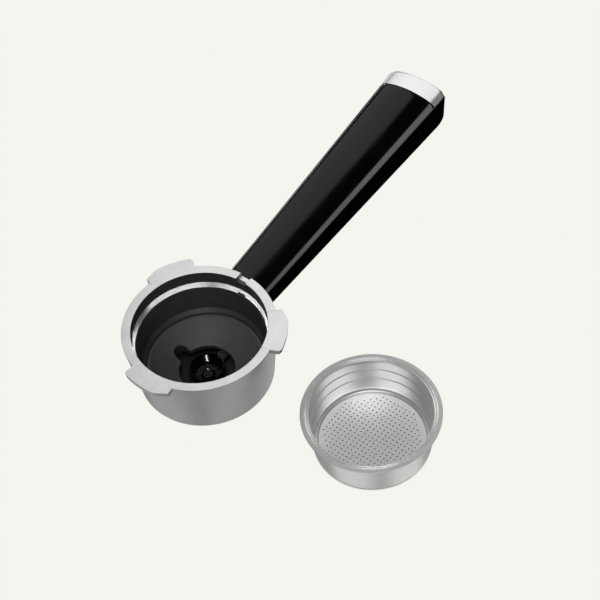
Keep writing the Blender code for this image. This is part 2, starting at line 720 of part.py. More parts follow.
def make_handle_shell():
    shell = add_object("handle_shell", shell_outside(), "gloss_black")
    hollow = loft([shell_section(x, SHELL_WALL, along(CREASE_ZS, x) + 1 * MM)
                   for x in (HANDLE_START_X - 1 * MM, END_WALL_X)])
    boolean(shell, hollow, "hollow")
    boolean(shell, clear_cup(), "cup_clearance")
    for index, x in enumerate(COVER_SCREW_XS):
        foot = shell_floor_z(x)
        pad = rod(4.2 * MM, foot + 0.8 * MM, foot + SHELL_WALL + 2.8 * MM, 24)
        boolean(shell, turned(pad, Matrix.Translation((x, 0, 0))), f"pad_{index + 1}", "UNION")
    for index, x in enumerate(COVER_SCREW_XS):
        foot = shell_floor_z(x)
        seat = foot + COUNTERBORE_DEPTH
        hole = lathe([
            (0, foot + SHELL_WALL + 4 * MM),
            (COVER_SCREW_SHANK_R + GAP, foot + SHELL_WALL + 4 * MM),
            (COVER_SCREW_SHANK_R + GAP, seat),
            (COVER_SCREW_HEAD_R + GAP, seat),
            (COVER_SCREW_HEAD_R + GAP, foot - 2 * MM),
            (0, foot - 2 * MM),
        ], 24)
        boolean(shell, turned(hole, Matrix.Translation((x, 0, 0))), f"screw_hole_{index + 1}")


def make_cover_screws():
    for index, x in enumerate(COVER_SCREW_XS):
        seat = shell_floor_z(x) + COUNTERBORE_DEPTH - GAP
        length = along(CREASE_ZS, x) - seat
        make_screw(f"cover_screw_{index + 1}", (x, 0, seat), COVER_SCREW_SHANK_R,
                   COVER_SCREW_HEAD_R, COVER_SCREW_HEAD_H, length)


def make_end_cap():
    """The silver cap: a plate with the cover's section and two prongs that snap into the shell."""
    cap = add_object("end_cap", cover_solid(CAP_START_X, CAP_END_X, 0, 0), "satin_silver")
    for name, side in (("prong_left", 1), ("prong_right", -1)):
        y = side * 6.5 * MM
        crease = along(CREASE_ZS, CAP_START_X)
        prong = block((158.2 * MM, y - 1.6 * MM, crease - 7 * MM), (160.4 * MM, y + 1.6 * MM, crease + 2 * MM))
        boolean(cap, prong, name, "UNION")


def make_handle_inside():
    rod_solid = along_x(rod(ROD_R, ROD_START_X, ROD_END_X, 24), z=ROD_Z)
    add_object("handle_rod", rod_solid, "zinc_steel")
    core_start = NECK_END_X + GAP
    half_height = NECK_HEIGHT / 2
    core = add_object("handle_core", block((core_start, -5.5 * MM, ROD_Z - half_height + 0.5 * MM),
                                           (CORE_END_X, 5.5 * MM, ROD_Z + half_height - 0.5 * MM), 0.8 * MM),
                      "core_nylon")
    for index, x in enumerate((48 * MM, 70 * MM, 91 * MM)):
        half = along(HALF_WIDTHS, x) - SHELL_WALL - 1.0 * MM
        rib = block((x - 1.5 * MM, -half, shell_floor_z(x) + SHELL_WALL + 0.8 * MM),
                    (x + 1.5 * MM, half, along(CREASE_ZS, x) - 1.2 * MM), 0.0)
        edges = [edge for edge in rib.edges if abs(edge.verts[0].co.x - edge.verts[1].co.x) > 1 * MM]
        bmesh.ops.bevel(rib, geom=edges, offset=2.4 * MM, segments=3, affect="EDGES", profile=0.5)
        boolean(core, rib, f"rib_{index + 1}", "UNION")
    boolean(core, along_x(rod(ROD_R + GAP, core_start - 2 * MM, CORE_END_X + 2 * MM, 24), z=ROD_Z), "bore")
    washer_start = CORE_END_X + GAP
    washer_end = washer_start + 1.2 * MM
    add_object("rod_washer", along_x(tube(ROD_R + GAP, 4.8 * MM, washer_start, washer_end), z=ROD_Z),
               "zinc_steel")
    nut_start = washer_end + GAP
    nut_end = nut_start + 4 * MM
    nut = add_object("rod_nut", along_x(prism(arc(4.6 * MM, 0, 300, 5), nut_start, nut_end), z=ROD_Z),
                     "zinc_steel")
    boolean(nut, along_x(rod(ROD_R + GAP, nut_start - 1 * MM, nut_end + 1 * MM), z=ROD_Z), "bore")


# ---------------------------------------------------------------- basket


def basket_inside():
    """The pressed cup's inner profile from rim to floor: three bands, each a little narrower."""
    points = [
        (27.2 * MM, 0),
        (26.7 * MM, -0.6 * MM),
        (26.4 * MM, -1.6 * MM),
        (26.1 * MM, -6.0 * MM),
        (25.7 * MM, -6.5 * MM),
        (25.5 * MM, -11.8 * MM),
        (25.1 * MM, -12.3 * MM),
        (24.8 * MM, -17.6 * MM),
    ]
    fillet = 1.9 * MM
    centre_z = -BASKET_HEIGHT + BASKET_SHEET + fillet
    for out, up in arc(fillet, -10, -90, 4):
        points.append((24.8 * MM - fillet + out, centre_z + up))
    return points


def make_filter_basket():
    inside = basket_inside()
    outside = [(radius + BASKET_SHEET, height) for radius, height in inside if height > -18 * MM]
    foot_fillet = 2.4 * MM
    foot_r = 24.8 * MM + BASKET_SHEET
    foot = [(foot_r - foot_fillet + out, -BASKET_HEIGHT + foot_fillet + up)
            for out, up in arc(foot_fillet, -90, 0, 5)]
    rim_under = -BASKET_SHEET
    walls = [point for point in reversed(outside) if point[1] < rim_under - 0.4 * MM]
    rim = [
        (27.9 * MM, rim_under),
        (BASKET_RIM_R - 0.4 * MM, rim_under - 0.3 * MM),
        (BASKET_RIM_R, rim_under),
        (BASKET_RIM_R - 0.2 * MM, 0),
    ]
    profile = inside + [(0, -BASKET_HEIGHT + BASKET_SHEET), (0, -BASKET_HEIGHT)] + foot + walls + rim
    place = (BASKET_X, BASKET_Y, SPOUT_FOOT_Z + BASKET_HEIGHT)
    add_object("filter_basket", lathe(profile, BIG_STEPS), "basket_steel", None, place)


def main():
    clear_scene()
    spout = add_empty("spout_axis", (0, 0, 0))
    valve = add_empty("valve_axis", (0, 0, 0))
    valve.parent = spout
    make_cup_shell()
    make_cup_liner()
    make_retaining_ring()
    make_liner_screws()
    make_outlet_nozzle(spout)
    make_nozzle_seal(spout)
    make_spout_body(spout)
    make_spout_gasket(spout)
    make_valve(spout, valve)
    make_handle_cover()
    make_handle_shell()
    make_cover_screws()
    make_end_cap()
    make_handle_inside()
    make_filter_basket()


main()
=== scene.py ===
"""The portafilter's looks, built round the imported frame.

Metres, +Z up, in the frame's own axes: the origin is the centre of the flange's top face and the handle
points along +X. Each shell that shows is made again here with a fine surface, and rides on the body of the
node that it stands for. The screws, the rod with its washer and nut, the seals, the handle's core and the
valve's plunger and retainer stay as packed and get their materials here.
"""

import math

import bmesh
import bpy
from mathutils import Matrix, Vector
from mathutils.geometry import delaunay_2d_cdt


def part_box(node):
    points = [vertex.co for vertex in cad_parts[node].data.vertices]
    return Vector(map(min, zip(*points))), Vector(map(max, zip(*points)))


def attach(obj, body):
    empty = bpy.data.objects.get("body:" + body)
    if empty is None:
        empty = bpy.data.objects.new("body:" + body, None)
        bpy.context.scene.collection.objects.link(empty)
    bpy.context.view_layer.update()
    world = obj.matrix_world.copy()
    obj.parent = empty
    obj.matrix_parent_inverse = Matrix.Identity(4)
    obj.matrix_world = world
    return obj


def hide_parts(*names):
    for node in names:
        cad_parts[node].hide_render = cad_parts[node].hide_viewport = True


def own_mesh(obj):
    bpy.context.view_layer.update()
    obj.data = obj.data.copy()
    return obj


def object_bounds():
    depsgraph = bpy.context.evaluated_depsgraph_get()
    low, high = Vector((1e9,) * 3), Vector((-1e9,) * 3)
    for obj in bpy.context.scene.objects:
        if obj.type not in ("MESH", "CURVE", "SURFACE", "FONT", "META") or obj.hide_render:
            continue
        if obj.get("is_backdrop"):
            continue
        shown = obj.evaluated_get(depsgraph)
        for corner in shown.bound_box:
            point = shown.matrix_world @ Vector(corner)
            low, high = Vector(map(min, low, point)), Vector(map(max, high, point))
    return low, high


MM = 0.001
FULL_TURN = math.radians(360)
GAP = 0.3 * MM

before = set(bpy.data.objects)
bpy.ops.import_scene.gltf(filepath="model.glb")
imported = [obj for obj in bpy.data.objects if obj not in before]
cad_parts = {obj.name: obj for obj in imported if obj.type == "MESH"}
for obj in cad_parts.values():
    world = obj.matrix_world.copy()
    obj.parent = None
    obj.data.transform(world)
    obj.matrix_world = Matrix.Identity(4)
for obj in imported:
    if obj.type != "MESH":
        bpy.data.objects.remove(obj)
CAD_LOW, CAD_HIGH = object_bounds()


def low(node):
    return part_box(node)[0]


def high(node):
    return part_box(node)[1]


# Cup shell
BORE_R = 28.5 * MM
FLANGE_R = 32.35 * MM
CUP_FOOT_R = 28.95 * MM
CUP_FOOT_Z = low("cup_shell").z
CUP_FLOOR_Z = CUP_FOOT_Z + 2.15 * MM
CUP_FLOOR_HOLE_R = 21.5 * MM
LIP = 0.4 * MM
POCKET_R = high("cup_liner").x + GAP
POCKET_FOOT_Z = -9.9 * MM
SHELL_INNER_TOP_R = 28.95 * MM
SHELL_INNER_FOOT_R = 27.0 * MM
LUG_R = -low("cup_shell").x
LUG_RAMP_R = 35.0 * MM
LUG_THICKNESS = 2.4 * MM
LUG_ANGLES = (60, 180, 300)
LUG_HALF_DEG = 18.5
LUG_RAMP_DEG = 10.0
LUG_CORNER_SHARE = 0.13
NOTCH_WIDTH = 5.4 * MM
NOTCH_DEPTH = 1.8 * MM
NOTCH_FILLET_R = 1.2 * MM
NECK_X = high("cup_shell").x
NECK_WIDTH = 12.0 * MM
NECK_HEIGHT = 9.0 * MM

# Liner
BAND_TOP_Z = high("cup_liner").z
BAND_FOOT_Z = -5.85 * MM
GROOVE_FOOT_Z = -9.0 * MM
WALL_TOP_R = 27.55 * MM
LEDGE_R = 26.45 * MM
LEDGE_Z = -21.1 * MM
LEDGE_EDGE_R = 24.95 * MM
LEDGE_EDGE_Z = -23.0 * MM
FLOOR_EDGE_R = 23.85 * MM
FLOOR_EDGE_Z = -23.9 * MM
WELL_R = 11.9 * MM
WELL_RIM_Z = -30.2 * MM
WELL_FLOOR_Z = -33.4 * MM
WELL_BOSS_R = 18.2 * MM
WELL_BOSS_Z = low("cup_liner").z
EAR_GROOVE_R = 16.4 * MM
EAR_GROOVE_TOP_Z = -31.5 * MM
LOBE_R = 16.8 * MM
LOBE_HALF_WIDTH = 3.0 * MM
NOZZLE_HOLE_R = 8.1 * MM
LIP_RISE = 0.45 * MM
LIP_WIDTH = 0.85 * MM
LIP_GAP_DEG = 15.0

# Nozzle and spout
NOZZLE_R = high("outlet_nozzle").y
NOZZLE_RIM_Z = high("outlet_nozzle").z
NOZZLE_FOOT_Z = low("outlet_nozzle").z
NOZZLE_BORE_R = 6.5 * MM
SEAT_TOP_Z = -34.2 * MM
SEAT_FOOT_Z = -35.7 * MM
SEAT_HOLE_R = 3.2 * MM
CHAMBER_R = 5.4 * MM
EAR_R = high("outlet_nozzle").x
EAR_WIDTH = 5.2 * MM
EAR_TOP_Z = -31.8 * MM
EAR_FOOT_Z = -33.1 * MM
SEAL_GROOVE_R = 6.8 * MM
SEAL_Z = (low("nozzle_seal").z + high("nozzle_seal").z) / 2
COLLAR_R = high("spout_body").x
SPOUT_TOP_Z = high("spout_body").z
SPOUT_FOOT_Z = low("spout_body").z
OUTLET_Y = 7.0 * MM
OUTLET_R = 4.1 * MM
OUTLET_BORE_Y = 6.8 * MM
OUTLET_BORE_R = 2.6 * MM

# Handle: each measure runs evenly from the root station to the end station
ROOT_X = 35.5 * MM
END_STATION_X = 155.5 * MM
COVER_END_X = high("handle_cover").x
CAP_START_X = low("end_cap").x
CAP_END_X = high("end_cap").x
HANDLE_END_X = high("handle_shell").x
HALF_WIDTHS = (10.3 * MM, 14.4 * MM)
CREASE_ZS = (-5.3 * MM, 3.2 * MM)
DEPTHS = (14.0 * MM, 20.0 * MM)
CORNER_RADII = (5.0 * MM, 6.0 * MM)
CHAMFER_WIDTHS = (1.75 * MM, 2.4 * MM)
CHAMFER_DROPS = (1.35 * MM, 1.75 * MM)
CROWN_R = 36.0 * MM
SHOULDER_SOFTNESS = 0.9 * MM
COVER_WALL = 1.6 * MM
SHELL_WALL = 2.2 * MM
END_WALL_X = HANDLE_END_X - 2.5 * MM
COVER_SCREWS = ("cover_screw_1", "cover_screw_2")
LINER_SCREWS = ("liner_screw_1", "liner_screw_2", "liner_screw_3")

# Basket
BASKET_LOW, BASKET_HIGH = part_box("filter_basket")
BASKET_CENTRE = (BASKET_LOW + BASKET_HIGH) / 2
BASKET_RIM_R = (BASKET_HIGH.x - BASKET_LOW.x) / 2
BASKET_HEIGHT = BASKET_HIGH.z - BASKET_LOW.z
BASKET_SHEET = 0.6 * MM
BASKET_WALL_FOOT_R = 24.8 * MM
HOLE_PITCH = 1.97 * MM
HOLE_R = 0.32 * MM
HOLE_ROWS = 10
HOLE_DIAGONAL = 14
BEAD_INNER_R = 26.6 * MM
BEAD_OUTER_R = 28.05 * MM
BEAD_DEPTH = 0.8 * MM

# ---------------------------------------------------------------- mesh helpers


def polar(radius, degrees):
    angle = math.radians(degrees)
    return radius * math.cos(angle), radius * math.sin(angle)


def arc(radius, start_deg, end_deg, count):
    return [polar(radius, start_deg + (end_deg - start_deg) * i / count) for i in range(count + 1)]


def smooth(share):
    share = min(1.0, max(0.0, share))
    return share * share * (3 - 2 * share)


def rounded(corners, steps=3):
    """A closed outline from (x, y, rounding) corners, each turned through a short curve."""
    points = []
    for i, (x, y, rounding) in enumerate(corners):
        if not rounding:
            points.append((x, y))
            continue
        here = Vector((x, y))
        before = Vector(corners[i - 1][:2]) - here
        after = Vector(corners[(i + 1) % len(corners)][:2]) - here
        start = here + before.normalized() * min(rounding, before.length * 0.45)
        end = here + after.normalized() * min(rounding, after.length * 0.45)
        for step in range(steps + 1):
            t = step / steps
            points.append(tuple(start * (1 - t) ** 2 + here * 2 * t * (1 - t) + end * t ** 2))
    return points


def join_rings(bm, rings, closed):
    """Quads from each ring of vertices to the next, and from the last to the first if closed."""
    following = rings[1:] + rings[:1] if closed else rings[1:]
    for first, second in zip(rings, following):
        for i in range(len(first)):
            j = (i + 1) % len(first)
            bm.faces.new((first[i], first[j], second[j], second[i]))


def turned_profile(profile_at, angles):
    """A closed body from a profile that may change with the angle: profile_at(degrees) gives (radius, z)."""
    bm = bmesh.new()
    columns = []
    for angle in angles:
        column = []
        for radius, z in profile_at(angle):
            x, y = polar(radius, angle)
            column.append(bm.verts.new((x, y, z)))
        columns.append(column)
    join_rings(bm, columns, True)
    bmesh.ops.recalc_face_normals(bm, faces=bm.faces)
    return bm


def even_angles(step):
    return [i * step for i in range(round(360 / step))]


def angles_with(spans, step=1.5):
    """Angles round the turn, with extra ones across each (start, end, spacing) span of degrees."""
    found = set(even_angles(step))
    for start, end, spacing in spans:
        count = max(1, round((end - start) / spacing))
        inside = {(start + (end - start) * i / count) % 360 for i in range(count + 1)}
        wide = {round(a, 6) for a in inside}
        found = {a for a in found if min(abs((a - b + 180) % 360 - 180) for b in wide) > spacing * 0.4}
        found |= wide
    return sorted(found)


def lathe(profile, steps):
    """A closed profile of (radius, height) points, turned about Z. An edge on the axis makes no face."""
    bm = bmesh.new()
    verts = [bm.verts.new((radius, 0, height)) for radius, height in profile]
    pairs = zip(verts, verts[1:] + verts[:1])
    edges = [bm.edges.new((a, b)) for a, b in pairs if a.co.x or b.co.x]
    bmesh.ops.spin(bm, geom=verts + edges, axis=(0, 0, 1), cent=(0, 0, 0),
                   angle=FULL_TURN, steps=steps, use_merge=True)
    bmesh.ops.remove_doubles(bm, verts=bm.verts, dist=1e-7)
    bmesh.ops.recalc_face_normals(bm, faces=bm.faces)
    return bm


def rod(radius, foot, top, steps=48):
    return lathe([(0, top), (radius, top), (radius, foot), (0, foot)], steps)


def moved(bm, x, y, z=0.0):
    bmesh.ops.translate(bm, vec=(x, y, z), verts=bm.verts)
    return bm


def block(low_corner, high_corner, bevel):
    """A box between two corners with rounded edges."""
    centre = [(a + b) / 2 for a, b in zip(low_corner, high_corner)]
    bm = bmesh.new()
    bmesh.ops.create_cube(bm, size=1)
    bmesh.ops.scale(bm, vec=[b - a for a, b in zip(low_corner, high_corner)], verts=bm.verts)
    bmesh.ops.bevel(bm, geom=bm.edges[:], offset=bevel, segments=3, affect="EDGES", profile=0.5)
    return moved(bm, *centre)


def loft(sections):
    """A solid through sections, each a list of (x, y, z) with the same number of points."""
    bm = bmesh.new()
    rings = [[bm.verts.new(point) for point in section] for section in sections]
    join_rings(bm, rings, False)
    bm.faces.new(rings[0])
    bm.faces.new(rings[-1])
    bmesh.ops.recalc_face_normals(bm, faces=bm.faces)
    return bm


def object_from(name, bm):
    mesh = bpy.data.meshes.new(name)
    bm.to_mesh(mesh)
    bm.free()
    obj = bpy.data.objects.new(name, mesh)
    bpy.context.scene.collection.objects.link(obj)
    return obj


def combine(obj, bm, operation="DIFFERENCE"):
    """Cuts a shape out of obj, or joins it on, and keeps only the result."""
    helper = object_from("helper", bm)
    modifier = obj.modifiers.new("combine", "BOOLEAN")
    modifier.operation = operation
    modifier.solver = "EXACT"
    modifier.object = helper
    bake_modifiers(obj)
    bpy.data.objects.remove(helper)


def bake_modifiers(obj):
    graph = bpy.context.evaluated_depsgraph_get()
    before = obj.data
    made = bpy.data.meshes.new_from_object(obj.evaluated_get(graph), depsgraph=graph)
    obj.modifiers.clear()
    obj.data = made
    made.name = obj.name
    bpy.data.meshes.remove(before)


def finish_piece(obj, material, body, stands_for, sharp_deg=35):
    """Shading, material and place in the frame for a piece whose mesh is final."""
    obj.data.shade_smooth()
    obj.data.set_sharp_from_angle(angle=math.radians(sharp_deg))
    weighted = obj.modifiers.new("even_shading", "WEIGHTED_NORMAL")
    weighted.keep_sharp = True
    weighted.weight = 50
    obj.data.materials.clear()
    obj.data.materials.append(material)
    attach(obj, body)
    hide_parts(stands_for)
    return obj


# ---------------------------------------------------------------- materials


class Recipe:
    """A Principled material and the few kinds of node that the finishes here are made from."""

    def __init__(self, name, colour, metallic, roughness, **uniform):
        self.material = bpy.data.materials.new(name)
        self.material.use_nodes = True
        self.tree = self.material.node_tree
        self.shader = self.tree.nodes["Principled BSDF"]
        self.shader.inputs["Base Color"].default_value = (*colour, 1)
        self.shader.inputs["Metallic"].default_value = metallic
        self.shader.inputs["Roughness"].default_value = roughness
        for socket, value in uniform.items():
            self.shader.inputs[socket.replace("_", " ")].default_value = value

    def node(self, kind, **settings):
        made = self.tree.nodes.new(kind)
        for name, value in settings.items():
            setattr(made, name, value)
        return made

    def link(self, output, socket):
        self.tree.links.new(output, socket)

    def place(self):
        """Position on the object in its own axes, in metres."""
        return self.node("ShaderNodeTexCoord").outputs["Object"]

    def scaled(self, vector, scale):
        mapping = self.node("ShaderNodeMapping")
        mapping.inputs["Scale"].default_value = scale
        self.link(vector, mapping.inputs["Vector"])
        return mapping.outputs["Vector"]

    def noise(self, vector, scale, detail=3.0, roughness=0.55):
        noise = self.node("ShaderNodeTexNoise")
        noise.inputs["Scale"].default_value = scale
        noise.inputs["Detail"].default_value = detail
        noise.inputs["Roughness"].default_value = roughness
        self.link(vector, noise.inputs["Vector"])
        return noise.outputs["Fac"]

    def calculate(self, operation, first, second):
        """A Math node of two values, each a socket or a number."""
        math_node = self.node("ShaderNodeMath", operation=operation)
        for socket, value in zip(math_node.inputs, (first, second)):
            if isinstance(value, (int, float)):
                socket.default_value = value
            else:
                self.link(value, socket)
        return math_node.outputs["Value"]

    def ramp(self, value, stops):
        """Colours at given places of a value from 0 to 1."""
        ramp = self.node("ShaderNodeValToRGB")
        elements = ramp.color_ramp.elements
        while len(elements) < len(stops):
            elements.new(0.5)
        for element, (position, colour) in zip(elements, stops):
            element.position = position
            element.color = (*colour, 1)
        self.link(value, ramp.inputs["Fac"])
        return ramp.outputs["Color"]

    def spread(self, value, low_value, high_value):
        """Takes a noise value, which stays near the middle, to a range."""
        spread = self.node("ShaderNodeMapRange")
        spread.inputs["From Min"].default_value = 0.3
        spread.inputs["From Max"].default_value = 0.7
        spread.inputs["To Min"].default_value = low_value
        spread.inputs["To Max"].default_value = high_value
        self.link(value, spread.inputs["Value"])
        return spread.outputs["Result"]

    def round_place(self, centre=(0, 0, 0), around=0.02):
        """Position as (radius, a little of the angle, height), for marks that run round an axis."""
        shift = self.node("ShaderNodeVectorMath", operation="SUBTRACT")
        shift.inputs[1].default_value = centre
        self.link(self.place(), shift.inputs[0])
        split = self.node("ShaderNodeSeparateXYZ")
        self.link(shift.outputs["Vector"], split.inputs["Vector"])
        x, y, z = split.outputs
        squares = self.calculate("ADD", self.calculate("MULTIPLY", x, x), self.calculate("MULTIPLY", y, y))
        radius = self.calculate("SQRT", squares, 0.0)
        angle = self.calculate("ARCTAN2", y, x)
        joined = self.node("ShaderNodeCombineXYZ")
        self.link(radius, joined.inputs["X"])
        self.link(self.calculate("MULTIPLY", angle, around), joined.inputs["Y"])
        self.link(z, joined.inputs["Z"])
        return joined.outputs["Vector"]

    def colour(self, value, dark, light):
        self.link(self.ramp(value, [(0.35, dark), (0.65, light)]), self.shader.inputs["Base Color"])

    def roughness(self, value, low_value, high_value):
        self.link(self.spread(value, low_value, high_value), self.shader.inputs["Roughness"])

    def bump(self, value, height):
        """Relief of the given height in metres."""
        bump = self.node("ShaderNodeBump")
        bump.inputs["Distance"].default_value = height
        bump.inputs["Strength"].default_value = 1.0
        self.link(value, bump.inputs["Height"])
        self.link(bump.outputs["Normal"], self.shader.inputs["Normal"])


def grey(value, warmth=0.0):
    return (value * (1 + warmth), value, value * (1 - warmth))


def satin_steel():
    """Bead-blasted steel: a fine even grain and a faint cloudiness."""
    recipe = Recipe("satin_steel", grey(0.5), 1.0, 0.36)
    grain = recipe.noise(recipe.place(), 5200, 2)
    cloud = recipe.noise(recipe.place(), 90, 3)
    recipe.colour(cloud, grey(0.47, 0.003), grey(0.52, 0.003))
    recipe.roughness(recipe.noise(recipe.place(), 900, 3), 0.33, 0.40)
    recipe.bump(grain, 0.004 * MM)
    return recipe.material


def bright_steel():
    """Polished sheet with hair lines that run round the ring."""
    recipe = Recipe("bright_steel", grey(0.86), 1.0, 0.3)
    lines = recipe.noise(recipe.scaled(recipe.round_place(), (9000, 60, 9000)), 1.0, 2)
    recipe.colour(recipe.noise(recipe.place(), 120, 2), grey(0.83), grey(0.9))
    recipe.roughness(lines, 0.26, 0.36)
    recipe.bump(lines, 0.0015 * MM)
    return recipe.material


def satin_silver():
    """Brushed silver cap: straight hair lines along the handle's width."""
    recipe = Recipe("satin_silver", grey(0.9), 1.0, 0.3)
    lines = recipe.noise(recipe.scaled(recipe.place(), (6500, 180, 2500)), 1.0, 3)
    recipe.colour(lines, grey(0.86), grey(0.93))
    recipe.roughness(lines, 0.26, 0.38)
    recipe.bump(lines, 0.003 * MM)
    return recipe.material


def basket_steel():
    """Spun stainless sheet: fine lines that run round the basket."""
    recipe = Recipe("basket_steel", grey(0.7), 1.0, 0.38)
    place = recipe.round_place(tuple(BASKET_CENTRE))
    lines = recipe.noise(recipe.scaled(place, (9000, 300, 9000)), 1.0, 3)
    broad = recipe.noise(recipe.scaled(place, (900, 40, 900)), 1.0, 2)
    recipe.colour(broad, grey(0.68, 0.006), grey(0.75, 0.006))
    recipe.roughness(lines, 0.34, 0.44)
    recipe.bump(lines, 0.0003 * MM)
    return recipe.material


def perforated_steel_painted_shade():
    """The basket's floor: satin sheet painted darker than the wall's steel as shade, with a fine square
    pattern along the rows of holes.
    """
    recipe = Recipe("perforated_steel_painted_shade", grey(0.6), 1.0, 0.42)
    along_x = recipe.noise(recipe.scaled(recipe.place(), (2600, 300, 1)), 1.0, 2)
    along_y = recipe.noise(recipe.scaled(recipe.place(), (300, 2600, 1)), 1.0, 2)
    weave = recipe.calculate("MULTIPLY", recipe.calculate("ADD", along_x, along_y), 0.5)
    # The floor's sheet is darker than the wall's steel: painted shade. The square weave is a pattern.
    recipe.colour(weave, grey(0.52, 0.004), grey(0.7, 0.004))
    recipe.roughness(weave, 0.36, 0.48)
    recipe.bump(weave, 0.003 * MM)
    return recipe.material


def polished_bead_painted_highlight():
    """The rim's rolled beads: burnished smoother by the roller, and painted lighter than the basket's steel
    as a highlight, faintly lined.
    """
    recipe = Recipe("polished_bead_painted_highlight", grey(0.85), 1.0, 0.22)
    place = recipe.round_place(tuple(BASKET_CENTRE))
    lines = recipe.noise(recipe.scaled(place, (6000, 200, 6000)), 1.0, 2)
    recipe.colour(lines, grey(0.8, 0.004), grey(0.9, 0.004))
    recipe.roughness(lines, 0.19, 0.26)
    return recipe.material


def zinc_steel():
    """Zinc-plated steel with the mottling of its plating."""
    recipe = Recipe("zinc_steel", grey(0.55), 1.0, 0.4)
    mottle = recipe.noise(recipe.place(), 1300, 4)
    recipe.colour(mottle, (0.48, 0.49, 0.5), (0.62, 0.62, 0.6))
    recipe.roughness(mottle, 0.3, 0.5)
    recipe.bump(recipe.noise(recipe.place(), 4200, 2), 0.004 * MM)
    return recipe.material


def liner_black():
    """Moulded black plastic with a spark-eroded satin texture."""
    recipe = Recipe("liner_black", grey(0.03), 0.0, 0.5)
    texture = recipe.noise(recipe.place(), 4200, 3)
    recipe.colour(recipe.noise(recipe.place(), 160, 3), grey(0.027), grey(0.034))
    recipe.roughness(texture, 0.45, 0.6)
    recipe.bump(texture, 0.006 * MM)
    return recipe.material


def gloss_black(name, base, low_roughness, high_roughness):
    """Glossy black plastic: a faint flow ripple and the haze of handling."""
    recipe = Recipe(name, grey(base), 0.0, low_roughness)
    haze = recipe.noise(recipe.place(), 70, 4)
    recipe.colour(haze, grey(base * 0.8), grey(base * 1.2))
    recipe.roughness(haze, low_roughness, high_roughness)
    recipe.bump(recipe.noise(recipe.place(), 260, 2), 0.0015 * MM)
    return recipe.material


def well_painted_shade():
    """The bottom of the liner's well: the liner's black plastic made darker and duller, as painted shade for
    the deep recess.
    """
    recipe = Recipe("well_painted_shade", grey(0.004), 0.0, 0.5)
    recipe.shader.inputs["Specular IOR Level"].default_value = 0.1
    dust = recipe.noise(recipe.place(), 900, 3)
    recipe.colour(dust, grey(0.003), grey(0.006))
    recipe.roughness(dust, 0.45, 0.6)
    return recipe.material


def silicone_grey():
    """Matt dark silicone with a dusty mould texture."""
    recipe = Recipe("silicone_grey", grey(0.03), 0.0, 0.65)
    dust = recipe.noise(recipe.place(), 800, 4)
    recipe.colour(dust, grey(0.022), grey(0.045))
    recipe.roughness(dust, 0.55, 0.75)
    recipe.bump(recipe.noise(recipe.place(), 3500, 2), 0.006 * MM)
    return recipe.material


def core_nylon():
    """Glass-filled nylon: dark grey with pale fibre flecks."""
    recipe = Recipe("core_nylon", grey(0.05), 0.0, 0.55)
    flecks = recipe.noise(recipe.scaled(recipe.place(), (1200, 5200, 5200)), 1.0, 3)
    recipe.colour(flecks, grey(0.04), grey(0.075))
    recipe.roughness(flecks, 0.45, 0.65)
    recipe.bump(flecks, 0.006 * MM)
    return recipe.material


# ---------------------------------------------------------------- cup


def cup_outer_r(z):
    return FLANGE_R + (FLANGE_R - CUP_FOOT_R) * z / -CUP_FOOT_Z


def side_of(angle, centre):
    """Degrees from centre to angle, from -180 to 180."""
    return (angle - centre + 180) % 360 - 180


def ramp_r(share):
    """A lug's radius along its ramp, which is straight in plan, from 0 at its start to 1 at its low end."""
    turn = math.radians(LUG_RAMP_DEG)
    spread = LUG_R * math.sin(share * turn) + LUG_RAMP_R * math.sin((1 - share) * turn)
    return LUG_R * LUG_RAMP_R * math.sin(turn) / spread


def lug_reach(angle):
    """How far a lug stands out of the flange at an angle: one end nearly square, the other ramped."""
    reach = 0.0
    for centre in LUG_ANGLES:
        along = side_of(angle, centre)
        from_start = along + LUG_HALF_DEG
        rise = (1 - LUG_CORNER_SHARE) * smooth((from_start + 0.3) / 1.8)
        rise += LUG_CORNER_SHARE * smooth((from_start - 1.2) / 2.5)
        fall = 1 - smooth((along - LUG_HALF_DEG + 1.0) / 1.2)
        ramp_share = min(1.0, max(0.0, (along - LUG_HALF_DEG + LUG_RAMP_DEG) / LUG_RAMP_DEG))
        reach = max(reach, (ramp_r(ramp_share) - FLANGE_R) * rise * fall)
    return reach


def within(angle, centre, half, edge):
    """1 inside a span of angle and 0 outside, crossing over the edge width."""
    return smooth((half - abs(side_of(angle, centre))) / edge + 0.5)


